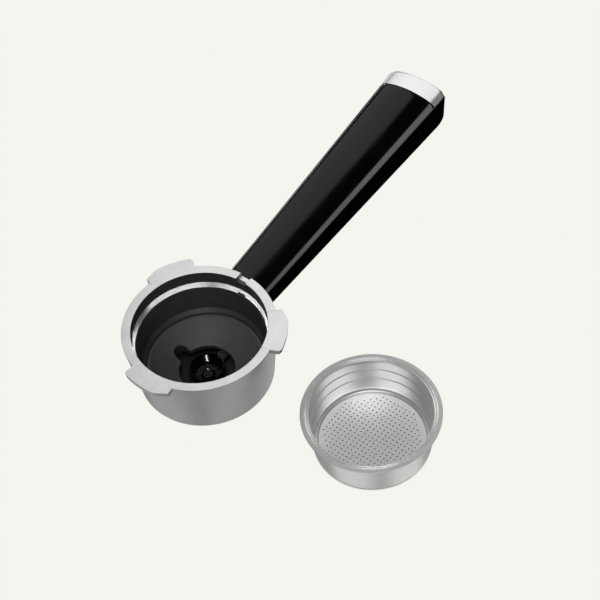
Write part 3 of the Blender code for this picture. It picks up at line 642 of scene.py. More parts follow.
def cup_profile(angle):
    """The shell's section, from the foot of its inner lip over the flange, down the wall and back inside."""
    edge = 0.14 * MM
    reach = lug_reach(angle)
    share = reach / (LUG_R - FLANGE_R)
    top = 0.0
    lip_foot = -LIP
    under = -LUG_THICKNESS
    under_edge = under + 0.2 * MM
    root = 0.5 * MM
    chamfer = 0.6 * MM
    return [
        (BORE_R, lip_foot),
        (BORE_R, top - edge),
        (BORE_R + edge * 0.3, top - edge * 0.3),
        (BORE_R + edge, top),
        (cup_outer_r(top) + reach - 1.4 * edge, top),
        (cup_outer_r(top) + reach - 0.4 * edge, top - edge * 0.4),
        (cup_outer_r(top - 1.4 * edge) + reach, top - 1.4 * edge),
        (cup_outer_r(under_edge) + reach, under_edge),
        (cup_outer_r(under) + reach - 0.2 * MM * share, under + 0.12 * MM * (1 - share)),
        (cup_outer_r(under) + root * share, under - 0.06 * MM * (1 - share)),
        (cup_outer_r(under - 0.2 * MM) + 0.12 * MM * share, under - 0.15 * MM),
        (cup_outer_r(under - root), under - root),
        (cup_outer_r(CUP_FOOT_Z / 2), CUP_FOOT_Z / 2),
        (cup_outer_r(CUP_FOOT_Z + chamfer), CUP_FOOT_Z + chamfer),
        (CUP_FOOT_R - chamfer * 0.25, CUP_FOOT_Z + chamfer * 0.25),
        (CUP_FOOT_R - chamfer, CUP_FOOT_Z),
        (CUP_FLOOR_HOLE_R + 0.3 * MM, CUP_FOOT_Z),
        (CUP_FLOOR_HOLE_R, CUP_FOOT_Z + 0.3 * MM),
        (CUP_FLOOR_HOLE_R, CUP_FLOOR_Z),
        (SHELL_INNER_FOOT_R, CUP_FLOOR_Z),
        (SHELL_INNER_TOP_R, POCKET_FOOT_Z),
        (POCKET_R, POCKET_FOOT_Z),
        (POCKET_R, lip_foot),
    ]


def notch_cutter():
    """The notch at the handle: it runs outwards through the lip and the flange, with filleted feet."""
    side = NOTCH_WIDTH / 2
    foot = NOTCH_FILLET_R - NOTCH_DEPTH
    right = [(side - NOTCH_FILLET_R + u, foot + v) for u, v in arc(NOTCH_FILLET_R, -90, 0, 8)]
    outline = right + [(side, 1 * MM), (-side, 1 * MM)] + [(-y, z) for y, z in reversed(right)]
    return loft([[(x, y, z) for y, z in outline] for x in (BORE_R - 2 * MM, FLANGE_R + 2 * MM)])


def neck_block():
    """The neck under the handle, its back curved to end inside the cup's wall."""
    back_r = POCKET_R + 0.2 * MM
    half_deg = math.degrees(math.asin(NECK_WIDTH / 2 / back_r))
    outline = arc(back_r, half_deg, -half_deg, 12)
    outline += [(NECK_X, -NECK_WIDTH / 2), (NECK_X, NECK_WIDTH / 2)]
    middle = (low("handle_rod").z + high("handle_rod").z) / 2
    return loft([[(x, y, z) for x, y in outline]
                 for z in (middle - NECK_HEIGHT / 2, middle + NECK_HEIGHT / 2)])


def screw_recess(node, gap):
    """The counterbored hole that a screw pointing up sits in."""
    foot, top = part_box(node)
    centre = (foot + top) / 2
    head_r = (top.x - foot.x) / 2 + gap
    shank_r = head_r * 0.62
    head_h = head_r * 0.45
    seat = foot.z + head_h + gap
    profile = [(0, top.z), (shank_r, top.z), (shank_r, seat), (head_r, seat),
               (head_r, foot.z - 1 * MM), (0, foot.z - 1 * MM)]
    return moved(lathe(profile, 48), centre.x, centre.y)


def make_cup(material):
    spans = []
    for centre in LUG_ANGLES:
        start = centre - LUG_HALF_DEG
        end = centre + LUG_HALF_DEG
        spans += [(start - 0.4, start + 3.8, 0.2), (end - 1.2, end + 0.5, 0.14)]
    cup = object_from("cup_body", turned_profile(cup_profile, angles_with(spans)))
    combine(cup, neck_block(), "UNION")
    combine(cup, notch_cutter())
    for node in LINER_SCREWS:
        combine(cup, screw_recess(node, GAP))
    return finish_piece(cup, material, "holder", "cup_shell")


def keyhole_r(angle, grow):
    """The well's outline: a circle with a lobe at each side, grown by an offset."""
    cosine = abs(math.cos(math.radians(angle)))
    sine = abs(math.sin(math.radians(angle)))
    half = LOBE_HALF_WIDTH + grow
    centre = LOBE_R - LOBE_HALF_WIDTH
    wall_r = half / max(cosine, 1e-6)
    if wall_r * sine > centre:
        wall_r = centre * sine + math.sqrt(max(0.0, half ** 2 - (centre * cosine) ** 2))
    circle = WELL_R + grow
    blend = 26
    return (circle ** blend + wall_r ** blend) ** (1 / blend) if wall_r < 2 * circle else wall_r


def cone_z(radius):
    """Height of the sloping floor."""
    return FLOOR_EDGE_Z - (FLOOR_EDGE_R - radius) * (FLOOR_EDGE_Z - WELL_RIM_Z) / (FLOOR_EDGE_R - WELL_R)


def liner_profile(angle):
    """The liner's section: band, groove, wall, ledge, floor, well with its raised lip, and underside."""
    top = BAND_TOP_Z
    outer_r = POCKET_R - GAP
    mark = within(angle, -1, 1.6, 0.5) * 0.5 * MM
    rise = LIP_RISE * smooth((abs(side_of(angle, 0)) - LIP_GAP_DEG) / 2 + 0.5)
    rise = max(rise, 0.02 * MM)
    well = keyhole_r(angle, 0)
    lip = keyhole_r(angle, LIP_WIDTH)
    hump = keyhole_r(angle, LIP_WIDTH * 0.75)
    inner_hump = keyhole_r(angle, LIP_WIDTH * 0.25)
    groove_r = max(EAR_GROOVE_R, well + 0.2 * MM)
    skirt_r = SHELL_INNER_FOOT_R - GAP
    shown = rounded([
        (outer_r, top, 0),
        (BORE_R, top, 0.1 * MM),
        (BORE_R, BAND_FOOT_Z, 0.15 * MM),
        (BORE_R + 0.6 * MM, BAND_FOOT_Z - 0.1 * MM, 0),
        (BORE_R + 0.6 * MM, GROOVE_FOOT_Z, 0),
        (WALL_TOP_R, GROOVE_FOOT_Z, 0.2 * MM),
        (LEDGE_R, LEDGE_Z - mark, 0.3 * MM),
        (LEDGE_EDGE_R, LEDGE_EDGE_Z, 0.15 * MM),
        (LEDGE_EDGE_R - 0.05 * MM, LEDGE_EDGE_Z - 1.3 * MM, 0.1 * MM),
        (FLOOR_EDGE_R + 0.05 * MM, LEDGE_EDGE_Z - 1.5 * MM, 0.1 * MM),
        (FLOOR_EDGE_R, FLOOR_EDGE_Z, 0.15 * MM),
        (0.5 * (FLOOR_EDGE_R + lip), cone_z(0.5 * (FLOOR_EDGE_R + lip)), 0),
        (lip + 0.4 * MM, cone_z(lip + 0.4 * MM), 0),
    ], 2)
    return shown + [
        (lip, cone_z(lip) + 0.15 * rise),
        (hump, cone_z(hump) + 0.85 * rise),
        (0.5 * (hump + inner_hump), cone_z(0.5 * (hump + inner_hump)) + rise),
        (inner_hump, cone_z(inner_hump) + 0.85 * rise),
        (well, cone_z(well) - 0.2 * MM),
        (well, EAR_GROOVE_TOP_Z),
        (groove_r, EAR_GROOVE_TOP_Z - 0.02 * MM),
        (groove_r, WELL_FLOOR_Z),
        (NOZZLE_HOLE_R, WELL_FLOOR_Z),
        (NOZZLE_HOLE_R, WELL_BOSS_Z),
        (WELL_BOSS_R - 0.4 * MM, WELL_BOSS_Z),
        (WELL_BOSS_R, WELL_BOSS_Z + 0.4 * MM),
        (WELL_BOSS_R, WELL_RIM_Z + 1.2 * MM),
        (FLOOR_EDGE_R - 1 * MM, FLOOR_EDGE_Z - 2.1 * MM),
        (skirt_r - 1.1 * MM, FLOOR_EDGE_Z - 1.7 * MM),
        (skirt_r - 1.1 * MM, CUP_FLOOR_Z + GAP),
        (skirt_r, CUP_FLOOR_Z + GAP),
        (SHELL_INNER_TOP_R - GAP, POCKET_FOOT_Z + GAP),
        (outer_r, POCKET_FOOT_Z + GAP),
    ]


def make_liner(material, well_shade_material):
    spans = [(68, 86, 0.5), (94, 112, 0.5), (248, 266, 0.5), (274, 292, 0.5), (-4, 2, 0.25)]
    liner = object_from("inner_liner", turned_profile(liner_profile, angles_with(spans)))
    combine(liner, notch_cutter())
    for node in LINER_SCREWS:
        foot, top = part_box(node)
        centre = (foot + top) / 2
        pull = 1 - 0.3 * MM / math.hypot(centre.x, centre.y)
        boss = rod(2.6 * MM, CUP_FLOOR_Z + GAP, FLOOR_EDGE_Z - 1.6 * MM)
        combine(liner, moved(boss, centre.x * pull, centre.y * pull), "UNION")
    for node in LINER_SCREWS:
        foot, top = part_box(node)
        centre = (foot + top) / 2
        combine(liner, moved(rod(1.5 * MM, CUP_FLOOR_Z - 1 * MM, top.z + GAP), centre.x, centre.y))
    finish_piece(liner, material, "holder", "cup_liner")
    # The faces at the bottom of the well take the darker material: painted shade for the recess.
    liner.data.materials.append(well_shade_material)
    for face in liner.data.polygons:
        if face.center.z < WELL_FLOOR_Z + 0.5 * MM and face.center.xy.length < LOBE_R + 1 * MM:
            face.material_index = 1
    return liner


def make_ring(material):
    foot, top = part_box("retaining_ring")
    thick = 0.4 * MM
    top_r = top.x - thick
    foot_r = top_r - 0.77 * MM
    half_deg = math.degrees(1.95 * MM / foot_r)

    def profile(angle):
        share = 1.0 * MM / (top.z - foot.z) * within(angle, 0, half_deg, 0.15)
        low_r = foot_r + (top_r - foot_r) * share
        low_z = foot.z + (top.z - foot.z) * share
        edge = 0.08 * MM
        return [(top_r, top.z - edge), (top_r + edge, top.z), (top_r + thick - edge, top.z),
                (top_r + thick, top.z - edge), (low_r + thick, low_z + edge), (low_r + thick - edge, low_z),
                (low_r + edge, low_z), (low_r, low_z + edge)]

    spans = [(-half_deg - 0.2, -half_deg + 0.2, 0.05), (half_deg - 0.2, half_deg + 0.2, 0.05)]
    ring = object_from("clamp_ring", turned_profile(profile, angles_with(spans, 1.0)))
    return finish_piece(ring, material, "holder", "retaining_ring")


# ---------------------------------------------------------------- nozzle and spout


def nozzle_profile(angle):
    mark = 0.5 * MM * within(angle, -8, 7.5, 0.8)
    rim = NOZZLE_RIM_Z - mark
    groove_half = 0.6 * MM
    return [
        (NOZZLE_R - 0.4 * MM, rim),
        (NOZZLE_R - 0.12 * MM, rim - 0.12 * MM),
        (NOZZLE_R, rim - 0.4 * MM),
        (NOZZLE_R, SEAL_Z + groove_half),
        (SEAL_GROOVE_R, SEAL_Z + groove_half),
        (SEAL_GROOVE_R, SEAL_Z - groove_half),
        (NOZZLE_R, SEAL_Z - groove_half),
        (NOZZLE_R, NOZZLE_FOOT_Z),
        (CHAMBER_R, NOZZLE_FOOT_Z),
        (CHAMBER_R, SEAT_FOOT_Z),
        (SEAT_HOLE_R, SEAT_FOOT_Z),
        (SEAT_HOLE_R, SEAT_TOP_Z),
        (NOZZLE_BORE_R - 1.0 * MM, SEAT_TOP_Z),
        (NOZZLE_BORE_R - 0.7 * MM, SEAT_TOP_Z + 0.1 * MM),
        (NOZZLE_BORE_R - 0.6 * MM, SEAT_TOP_Z + 0.5 * MM),
        (NOZZLE_BORE_R - 0.1 * MM, SEAT_TOP_Z + 0.7 * MM),
        (NOZZLE_BORE_R, SEAT_TOP_Z + 1.0 * MM),
        (NOZZLE_BORE_R, rim - 0.6 * MM),
        (NOZZLE_BORE_R + 0.15 * MM, rim - 0.2 * MM),
        (NOZZLE_R - 0.7 * MM, rim),
    ]


def make_nozzle(material):
    spans = [(-16.2, -14.8, 0.2), (-1.2, 0.2, 0.2)]
    nozzle = object_from("nozzle_tube", turned_profile(nozzle_profile, angles_with(spans, 2.5)))
    for side in (1, -1):
        ends = sorted((side * EAR_R, side * (NOZZLE_R - 0.6 * MM)))
        ear = block((ends[0], -EAR_WIDTH / 2, EAR_FOOT_Z), (ends[1], EAR_WIDTH / 2, EAR_TOP_Z), 0.35 * MM)
        combine(nozzle, ear, "UNION")
    return finish_piece(nozzle, material, "spout", "outlet_nozzle")


def spout_leg(side):
    """One outlet: a tapering oval leg that leans out from the collar to its foot."""
    stations = (
        (-39.5 * MM, 4.6 * MM, 7.2 * MM, 6.0 * MM),
        (-43.5 * MM, 5.4 * MM, 6.2 * MM, 5.4 * MM),
        (-46.5 * MM, OUTLET_Y - 0.4 * MM, 5.0 * MM, 4.7 * MM),
        (SPOUT_FOOT_Z, OUTLET_Y, OUTLET_R, OUTLET_R),
    )
    return loft([[(half_x * x, side * centre_y + half_y * y, z) for x, y in arc(1, 0, 360, 48)[:-1]]
                 for z, centre_y, half_x, half_y in stations])


def make_spout(material):
    """Collar and legs are joined, remeshed and relaxed so that they flow together, then bored."""
    collar = [
        (0, SPOUT_TOP_Z),
        (COLLAR_R - 0.8 * MM, SPOUT_TOP_Z),
        (COLLAR_R, SPOUT_TOP_Z - 0.8 * MM),
        (COLLAR_R, -39.0 * MM),
        (COLLAR_R - 2.2 * MM, -42.2 * MM),
        (8.0 * MM, NOZZLE_FOOT_Z - 2.6 * MM),
        (0, NOZZLE_FOOT_Z - 2.6 * MM),
    ]
    spout = object_from("twin_spout", lathe(collar, 96))
    for side in (1, -1):
        combine(spout, spout_leg(side), "UNION")
    remesh = spout.modifiers.new("even_mesh", "REMESH")
    remesh.mode = "VOXEL"
    remesh.voxel_size = 0.32 * MM
    relax = spout.modifiers.new("relax", "SMOOTH")
    relax.factor = 0.5
    relax.iterations = 10
    bake_modifiers(spout)
    combine(spout, rod(30 * MM, SPOUT_FOOT_Z - 3 * MM, SPOUT_FOOT_Z + 0.05 * MM))
    combine(spout, rod(30 * MM, SPOUT_TOP_Z - 0.05 * MM, SPOUT_TOP_Z + 3 * MM))
    combine(spout, rod(NOZZLE_R + GAP, NOZZLE_FOOT_Z - GAP, SPOUT_TOP_Z + 1 * MM, 96))
    for side in (1, -1):
        channel = rod(OUTLET_BORE_R, SPOUT_FOOT_Z - 1 * MM, NOZZLE_FOOT_Z + 0.5 * MM)
        combine(spout, moved(channel, 0, side * OUTLET_BORE_Y))
    return finish_piece(spout, material, "spout", "spout_body", 50)


# ---------------------------------------------------------------- handle


def along(pair, x):
    """A handle measure at x, between its values at the root and end stations."""
    share = (x - ROOT_X) / (END_STATION_X - ROOT_X)
    return pair[0] + (pair[1] - pair[0]) * share


def crown_rise(half):
    return CROWN_R - math.sqrt(CROWN_R ** 2 - half ** 2)


def cover_outline(x, inset, soft=0.12 * MM):
    """The crowned top with its chamfers at x, as (y, z) with softened edges, closed along the crease."""
    half = along(HALF_WIDTHS, x) - inset
    flat_half = half - along(CHAMFER_WIDTHS, x)
    foot = along(CREASE_ZS, x) + GAP / 2
    edge_z = along(CREASE_ZS, x) + along(CHAMFER_DROPS, x) - inset
    top_z = edge_z + crown_rise(flat_half)
    crown_half = flat_half - 1.6 * MM
    steps = 24
    crown_ys = [crown_half * (1 - 2 * i / steps) for i in range(steps + 1)]
    crown = [(y, top_z - crown_rise(abs(y)), 0.0) for y in crown_ys]
    right = [(half, foot, soft), (flat_half, edge_z, SHOULDER_SOFTNESS)]
    left = [(-y, z, rounding) for y, z, rounding in reversed(right)]
    return rounded(right + crown + left, 6)


def cup_side_x(y, z):
    """Where the handle stops short of the cup's wall."""
    radius = cup_outer_r(z) + 0.4 * MM
    return math.sqrt(max(0.0, radius ** 2 - y ** 2))


def far_edge_x(end_x, y, half):
    """A far edge at end_x, turned back at its two corners."""
    corner = 1.3 * MM
    past = max(0.0, abs(y) - (half - corner))
    return end_x - corner + math.sqrt(max(0.0, corner ** 2 - min(past, corner) ** 2))


def cover_stations():
    """Sections from the cup to the far edge, the last three drawn in so that the edge is soft."""
    sections = []
    for share in (0.0, 0.15, 0.4, 0.7, 1.0):
        x = ROOT_X + (COVER_END_X - 1.6 * MM - ROOT_X) * share
        outline = cover_outline(x, 0)
        if share == 0:
            outline = cover_outline(cup_side_x(0, 0), 0)
            sections.append([(cup_side_x(y, z), y, z) for y, z in outline])
        else:
            sections.append([(x, y, z) for y, z in outline])
    for back, draw in ((0.28, 0.0), (0.08, 0.08), (0.0, 0.28)):
        outline = cover_outline(COVER_END_X, draw * MM)
        half = along(HALF_WIDTHS, COVER_END_X) - draw * MM
        sections.append([(far_edge_x(COVER_END_X, y, half) - back * MM, y, z) for y, z in outline])
    return sections


def make_handle_cover(material):
    cover = object_from("handle_top", loft(cover_stations()))
    hollow_sections = []
    for x in (25 * MM, COVER_END_X - COVER_WALL - 1.4 * MM):
        outline = cover_outline(x, COVER_WALL)
        crease = along(CREASE_ZS, x)
        hollow_sections.append([(x, y, z if z > crease + 0.4 * MM else z - 1 * MM) for y, z in outline])
    combine(cover, loft(hollow_sections))
    for node in COVER_SCREWS:
        foot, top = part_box(node)
        x = (foot.x + top.x) / 2
        crease = along(CREASE_ZS, x)
        post_foot = shell_floor_z(x) + SHELL_WALL + 3.3 * MM
        hole_r = 1.7 * MM
        post_r = 2.8 * MM
        post_top = crease + 2.9 * MM
        hole_top = crease + 0.4 * MM
        profile = [(0, post_top), (post_r, post_top), (post_r, post_foot), (hole_r, post_foot),
                   (hole_r, hole_top), (0, hole_top)]
        combine(cover, moved(lathe(profile, 40), x, 0), "UNION")
    return finish_piece(cover, material, "holder", "handle_cover")


def shell_floor_z(x):
    return along(CREASE_ZS, x) - along(DEPTHS, x)


def grip_outline(x, inset, top_z):
    """The trough's section at x, as (y, z): up the right side, across the top and down the left."""
    half = along(HALF_WIDTHS, x) - inset
    lower_half = half - 0.5 * MM
    radius = along(CORNER_RADII, x) - inset
    foot = shell_floor_z(x) + inset
    soft = 0.12 * MM
    right = [(lower_half - radius + u, foot + radius + v) for u, v in arc(radius, -90, 0, 12)]
    right += [(half, top_z - soft), (half - soft, top_z)]
    return right + [(-y, z) for y, z in reversed(right)]


def grip_end_sections():
    """The far end, drawn in along a curve: more at the floor than at the top."""
    round_r = 6.0 * MM
    turn = math.radians(75)
    count = 12
    for i in range(1, count + 1):
        angle = turn * i / count
        x = HANDLE_END_X - round_r + round_r * math.sin(angle) / math.sin(turn)
        draw_in = round_r * 0.55 * (1 - math.cos(angle))
        crease = along(CREASE_ZS, x) - GAP / 2
        middle = (crease + shell_floor_z(x)) / 2
        half_height = (crease - shell_floor_z(x)) / 2
        scale_z = 1 - draw_in / half_height
        scale_y = 1 - 0.5 * draw_in / along(HALF_WIDTHS, x)
        yield [(x, y * scale_y, middle + (z - middle) * scale_z) for y, z in grip_outline(x, 0, crease)]


def make_grip(material):
    start_x = cup_side_x(0, -10 * MM)
    start = grip_outline(start_x, 0, along(CREASE_ZS, start_x) - GAP / 2)
    sections = [[(cup_side_x(y, z), y, z) for y, z in start]]
    for x in (ROOT_X + 5 * MM, 70 * MM, 100 * MM, 130 * MM, HANDLE_END_X - 6.0 * MM):
        sections.append([(x, y, z) for y, z in grip_outline(x, 0, along(CREASE_ZS, x) - GAP / 2)])
    sections += list(grip_end_sections())
    grip = object_from("handle_grip", loft(sections))
    hollow = loft([[(x, y, z) for y, z in grip_outline(x, SHELL_WALL, along(CREASE_ZS, x) + 1 * MM)]
                   for x in (25 * MM, END_WALL_X)])
    combine(grip, hollow)
    for node in COVER_SCREWS:
        foot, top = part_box(node)
        x = (foot.x + top.x) / 2
        floor = shell_floor_z(x)
        combine(grip, moved(rod(4.2 * MM, floor + 0.8 * MM, floor + SHELL_WALL + 2.8 * MM), x, 0), "UNION")
        seat = floor + 2.4 * MM
        hole_top = floor + SHELL_WALL + 4 * MM
        shank_r = 1.7 * MM
        head_r = 2.9 * MM
        mouth_r = 3.3 * MM
        hole = lathe([(0, hole_top), (shank_r, hole_top), (shank_r, seat), (head_r, seat),
                      (head_r, floor + 0.3 * MM), (mouth_r, floor - 0.1 * MM),
                      (mouth_r, floor - 2 * MM), (0, floor - 2 * MM)], 48)
        combine(grip, moved(hole, x, 0))
    return finish_piece(grip, material, "holder", "handle_shell")


def make_cap(material):
    sections = []
    for back, draw in ((0, 0.18), (0.06, 0.05), (0.2, 0.0)):
        x = CAP_START_X + back * MM
        sections.append([(x, y, z) for y, z in cover_outline(x, draw * MM)])
    for back, draw in ((1.6, 0.0), (0.5, 0.0), (0.14, 0.14), (0.0, 0.45)):
        outline = cover_outline(CAP_END_X, draw * MM)
        half = along(HALF_WIDTHS, CAP_END_X) - draw * MM
        sections.append([(far_edge_x(CAP_END_X, y, half) - back * MM, y, z) for y, z in outline])
    cap = object_from("handle_cap", loft(sections))
    for side in (1, -1):
        y = side * 6.5 * MM
        crease = along(CREASE_ZS, CAP_START_X)
        prong_low = (158.2 * MM, y - 1.6 * MM, crease - 7 * MM)
        prong_high = (160.4 * MM, y + 1.6 * MM, crease + 2 * MM)
        prong = block(prong_low, prong_high, 0.3 * MM)
        combine(cap, prong, "UNION")
    return finish_piece(cap, material, "holder", "end_cap")


# ---------------------------------------------------------------- basket


def basket_wall_profile():
    """The pressed wall, closed: inside from rim to floor, out along the floor's edge, and up the outside."""
    sheet = BASKET_SHEET
    floor_top = -BASKET_HEIGHT + sheet
    floor_edge_r = BASKET_WALL_FOOT_R - 1.9 * MM
    inside = rounded([
        (BASKET_RIM_R - 0.15 * MM, 0, 0),
        (28.0 * MM, 0, 0.05 * MM),
        (27.95 * MM, -0.25 * MM, 0.05 * MM),
        (27.85 * MM, -0.25 * MM, 0.05 * MM),
        (27.75 * MM, -0.02 * MM, 0.2 * MM),
        (27.4 * MM, -0.05 * MM, 0.2 * MM),
        (27.25 * MM, -0.7 * MM, 0.1 * MM),
        (26.9 * MM, -0.7 * MM, 0.1 * MM),
        (26.75 * MM, -0.25 * MM, 0.25 * MM),
        (26.25 * MM, -0.25 * MM, 0.3 * MM),
        (26.05 * MM, -1.5 * MM, 0.4 * MM),
        (26.0 * MM, -5.9 * MM, 0.15 * MM),
        (25.72 * MM, -6.2 * MM, 0.15 * MM),
        (25.5 * MM, -11.7 * MM, 0.15 * MM),
        (25.2 * MM, -12.0 * MM, 0.15 * MM),
        (24.75 * MM, -18.6 * MM, 0.3 * MM),
        (24.35 * MM, floor_top + 0.35 * MM, 0.4 * MM),
        (24.0 * MM, floor_top + 0.12 * MM, 0.1 * MM),
        (23.8 * MM, floor_top, 0.1 * MM),
        (floor_edge_r, floor_top, 0),
        (floor_edge_r, floor_top - sheet, 0),
        (BASKET_WALL_FOOT_R + sheet, -BASKET_HEIGHT, 2.4 * MM),
        (27.05 * MM, -1.5 * MM, 0.5 * MM),
        (27.9 * MM, -0.75 * MM, 0.3 * MM),
        (BASKET_RIM_R - 0.7 * MM, -0.75 * MM, 0.12 * MM),
        (BASKET_RIM_R - 0.35 * MM, -0.95 * MM, 0.12 * MM),
        (BASKET_RIM_R, -0.7 * MM, 0.2 * MM),
        (BASKET_RIM_R, -0.15 * MM, 0.05 * MM),
    ], 3)
    return inside, floor_edge_r, floor_top


def perforated_plate(radius, top_z, thickness, rim_steps):
    """A round plate with a square grid of holes less its corners, by constrained triangulation."""
    hole_sides = 12
    outlines = [arc(radius, 0, 360, rim_steps)[:-1]]
    centres = []
    for column in range(-HOLE_ROWS, HOLE_ROWS + 1):
        for row in range(-HOLE_ROWS, HOLE_ROWS + 1):
            if abs(column) + abs(row) <= HOLE_DIAGONAL:
                centres.append((column * HOLE_PITCH, row * HOLE_PITCH))
    for x, y in centres:
        outlines.append([(x + u, y + v) for u, v in arc(HOLE_R, 0, 360, hole_sides)[:-1]])
    points = [Vector(point) for outline in outlines for point in outline]
    edges = []
    start = 0
    for outline in outlines:
        count = len(outline)
        edges += [(start + i, start + (i + 1) % count) for i in range(count)]
        start += count
    flat, _, faces, _, _, _ = delaunay_2d_cdt(points, edges, [], 1, 1e-9)
    holes = set(centres)
    bm = bmesh.new()
    top = [bm.verts.new((v.x, v.y, top_z)) for v in flat]
    foot = [bm.verts.new((v.x, v.y, top_z - thickness)) for v in flat]
    for face in faces:
        x = sum(flat[i].x for i in face) / len(face)
        y = sum(flat[i].y for i in face) / len(face)
        nearest = (round(x / HOLE_PITCH) * HOLE_PITCH, round(y / HOLE_PITCH) * HOLE_PITCH)
        if nearest in holes and math.dist(nearest, (x, y)) < HOLE_R * 0.9:
            continue
        bm.faces.new([top[i] for i in face])
        bm.faces.new([foot[i] for i in reversed(face)])
    for edge in [e for e in bm.edges if e.is_boundary and e.verts[0].co.z > top_z - thickness / 2]:
        a, b = (top.index(v) for v in edge.verts)
        bm.faces.new((top[a], top[b], foot[b], foot[a]))
    bmesh.ops.delete(bm, geom=[v for v in bm.verts if not v.link_faces], context="VERTS")
    bmesh.ops.recalc_face_normals(bm, faces=bm.faces)
    return bm


def make_basket(material, floor_shade_material, bead_highlight_material):
    steps = 240
    profile, floor_r, floor_top = basket_wall_profile()
    wall = lathe(profile, steps)
    plate = perforated_plate(floor_r + 0.02 * MM, floor_top - 0.01 * MM, BASKET_SHEET - 0.02 * MM, steps)
    basket = object_from("perforated_basket", moved(wall, BASKET_CENTRE.x, BASKET_CENTRE.y, BASKET_HIGH.z))
    floor = object_from("basket_floor", moved(plate, BASKET_CENTRE.x, BASKET_CENTRE.y, BASKET_HIGH.z))
    finish_piece(floor, floor_shade_material, "basket", "filter_basket")
    finish_piece(basket, material, "basket", "filter_basket", 40)
    # The bead faces take a lighter copy of the basket's steel: a painted highlight.
    basket.data.materials.append(bead_highlight_material)
    for face in basket.data.polygons:
        reach = (face.center - BASKET_CENTRE).xy.length
        if face.center.z > BASKET_HIGH.z - BEAD_DEPTH and BEAD_INNER_R < reach < BEAD_OUTER_R:
            face.material_index = 1
    return basket


# ---------------------------------------------------------------- small pieces that stay as packed


def dress_nodes(finishes):
    """Gives each node that shows as packed its material."""
    for material, nodes in finishes:
        for name in nodes:
            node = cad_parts[name]
            node.data.materials.clear()
            node.data.materials.append(material)


def make_spring(material):
    """A coil of round wire with closed ends."""
    foot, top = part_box("valve_spring")
    wire_r = 0.35 * MM
    coil_r = (top.x - foot.x) / 2 - wire_r
    turns = 3
    per_turn = 48
    sides = 12
    rings = []
    bm = bmesh.new()
    for step in range(turns * per_turn + 1):
        share = step / (turns * per_turn)
        angle = 360 * turns * share
        z = foot.z + wire_r + (top.z - foot.z - 2 * wire_r) * share
        ring = []
        for out, up in arc(wire_r, 0, 360, sides)[:-1]:
            x, y = polar(coil_r + out, angle)
            ring.append(bm.verts.new((x, y, z + up)))
        rings.append(ring)
    join_rings(bm, rings, False)
    bm.faces.new(rings[0])
    bm.faces.new(rings[-1])
    bmesh.ops.recalc_face_normals(bm, faces=bm.faces)
    spring = finish_piece(object_from("valve_coil", bm), material, "spout", "valve_spring")
    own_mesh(spring)


# ---------------------------------------------------------------- studio


def linked(name, pieces):
    """A collection for a light to be linked to."""
    group = bpy.data.collections.new(name)
    for piece in pieces:
        group.objects.link(piece)
    return group


def soft_box(name, azimuth, elevation, distance, width, height, radiance, lit, unshaded=False):
    """A rectangular light in a direction from some pieces, for those only. Unshaded, nothing blocks it."""
    light = bpy.data.lights.new(name, "AREA")
    light.shape = "RECTANGLE"
    light.size = width
    light.size_y = height
    light.energy = radiance * math.pi * width * height
    lamp = bpy.data.objects.new(name, light)
    bpy.context.scene.collection.objects.link(lamp)
    turn = math.radians(azimuth)
    lift = math.radians(elevation)
    back = Vector((math.cos(turn) * math.cos(lift), math.sin(turn) * math.cos(lift), math.sin(lift)))
    centre = sum((Vector(corner) for piece in lit for corner in piece.bound_box), Vector()) / (8 * len(lit))
    lamp.location = centre + back * distance
    lamp.rotation_mode = "QUATERNION"
    lamp.rotation_quaternion = (-back).to_track_quat("-Z", "Y")
    lamp.visible_camera = False
    lamp.light_linking.receiver_collection = linked(name + "_lit", lit)
    if unshaded:
        lamp.light_linking.blocker_collection = linked(name + "_shaded", [bpy.data.objects["floor"]])
        light.cycles.use_multiple_importance_sampling = False


def glowing_material(name, colour, shade_distance=0.0):
    """A surface that gives off even light, darker where something stands closer to it than shade_distance."""
    material = bpy.data.materials.new(name)
    material.use_nodes = True
    tree = material.node_tree
    tree.nodes.clear()
    glow = tree.nodes.new("ShaderNodeEmission")
    glow.inputs["Color"].default_value = (*colour, 1)
    output = tree.nodes.new("ShaderNodeOutputMaterial")
    tree.links.new(glow.outputs["Emission"], output.inputs["Surface"])
    if shade_distance:
        shade = tree.nodes.new("ShaderNodeAmbientOcclusion")
        shade.inputs["Color"].default_value = (*colour, 1)
        shade.inputs["Distance"].default_value = shade_distance
        tree.links.new(shade.outputs["Color"], glow.inputs["Color"])
    return material


def make_floor(colour):
    """A plain pale floor that only the camera sees, with a little shade where the object stands on it."""
    bm = bmesh.new()
    reach = 6.0
    corners = ((-reach, -reach), (reach, -reach), (reach, reach), (-reach, reach))
    bm.faces.new([bm.verts.new((x, y, CAD_LOW.z - 0.02 * MM)) for x, y in corners])
    floor = object_from("floor", bm)
    floor.data.materials.append(glowing_material("pale_floor", colour, 0.7 * MM))
    clear_from_below(floor.data.materials[0])
    hide_from_light(floor)
    floor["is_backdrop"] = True


def clear_from_below(material):
    """Lets a camera under the floor see the object through it."""
    tree = material.node_tree
    glow = tree.nodes["Emission"]
    output = tree.nodes["Material Output"]
    side = tree.nodes.new("ShaderNodeNewGeometry")
    clear = tree.nodes.new("ShaderNodeBsdfTransparent")
    mix = tree.nodes.new("ShaderNodeMixShader")
    tree.links.new(side.outputs["Backfacing"], mix.inputs[0])
    tree.links.new(glow.outputs["Emission"], mix.inputs[1])
    tree.links.new(clear.outputs["BSDF"], mix.inputs[2])
    tree.links.new(mix.outputs["Shader"], output.inputs["Surface"])


def hide_from_light(piece):
    """Takes a piece of the studio out of reflections and shadows."""
    piece.visible_diffuse = False
    piece.visible_glossy = False
    piece.visible_transmission = False
    piece.visible_shadow = False


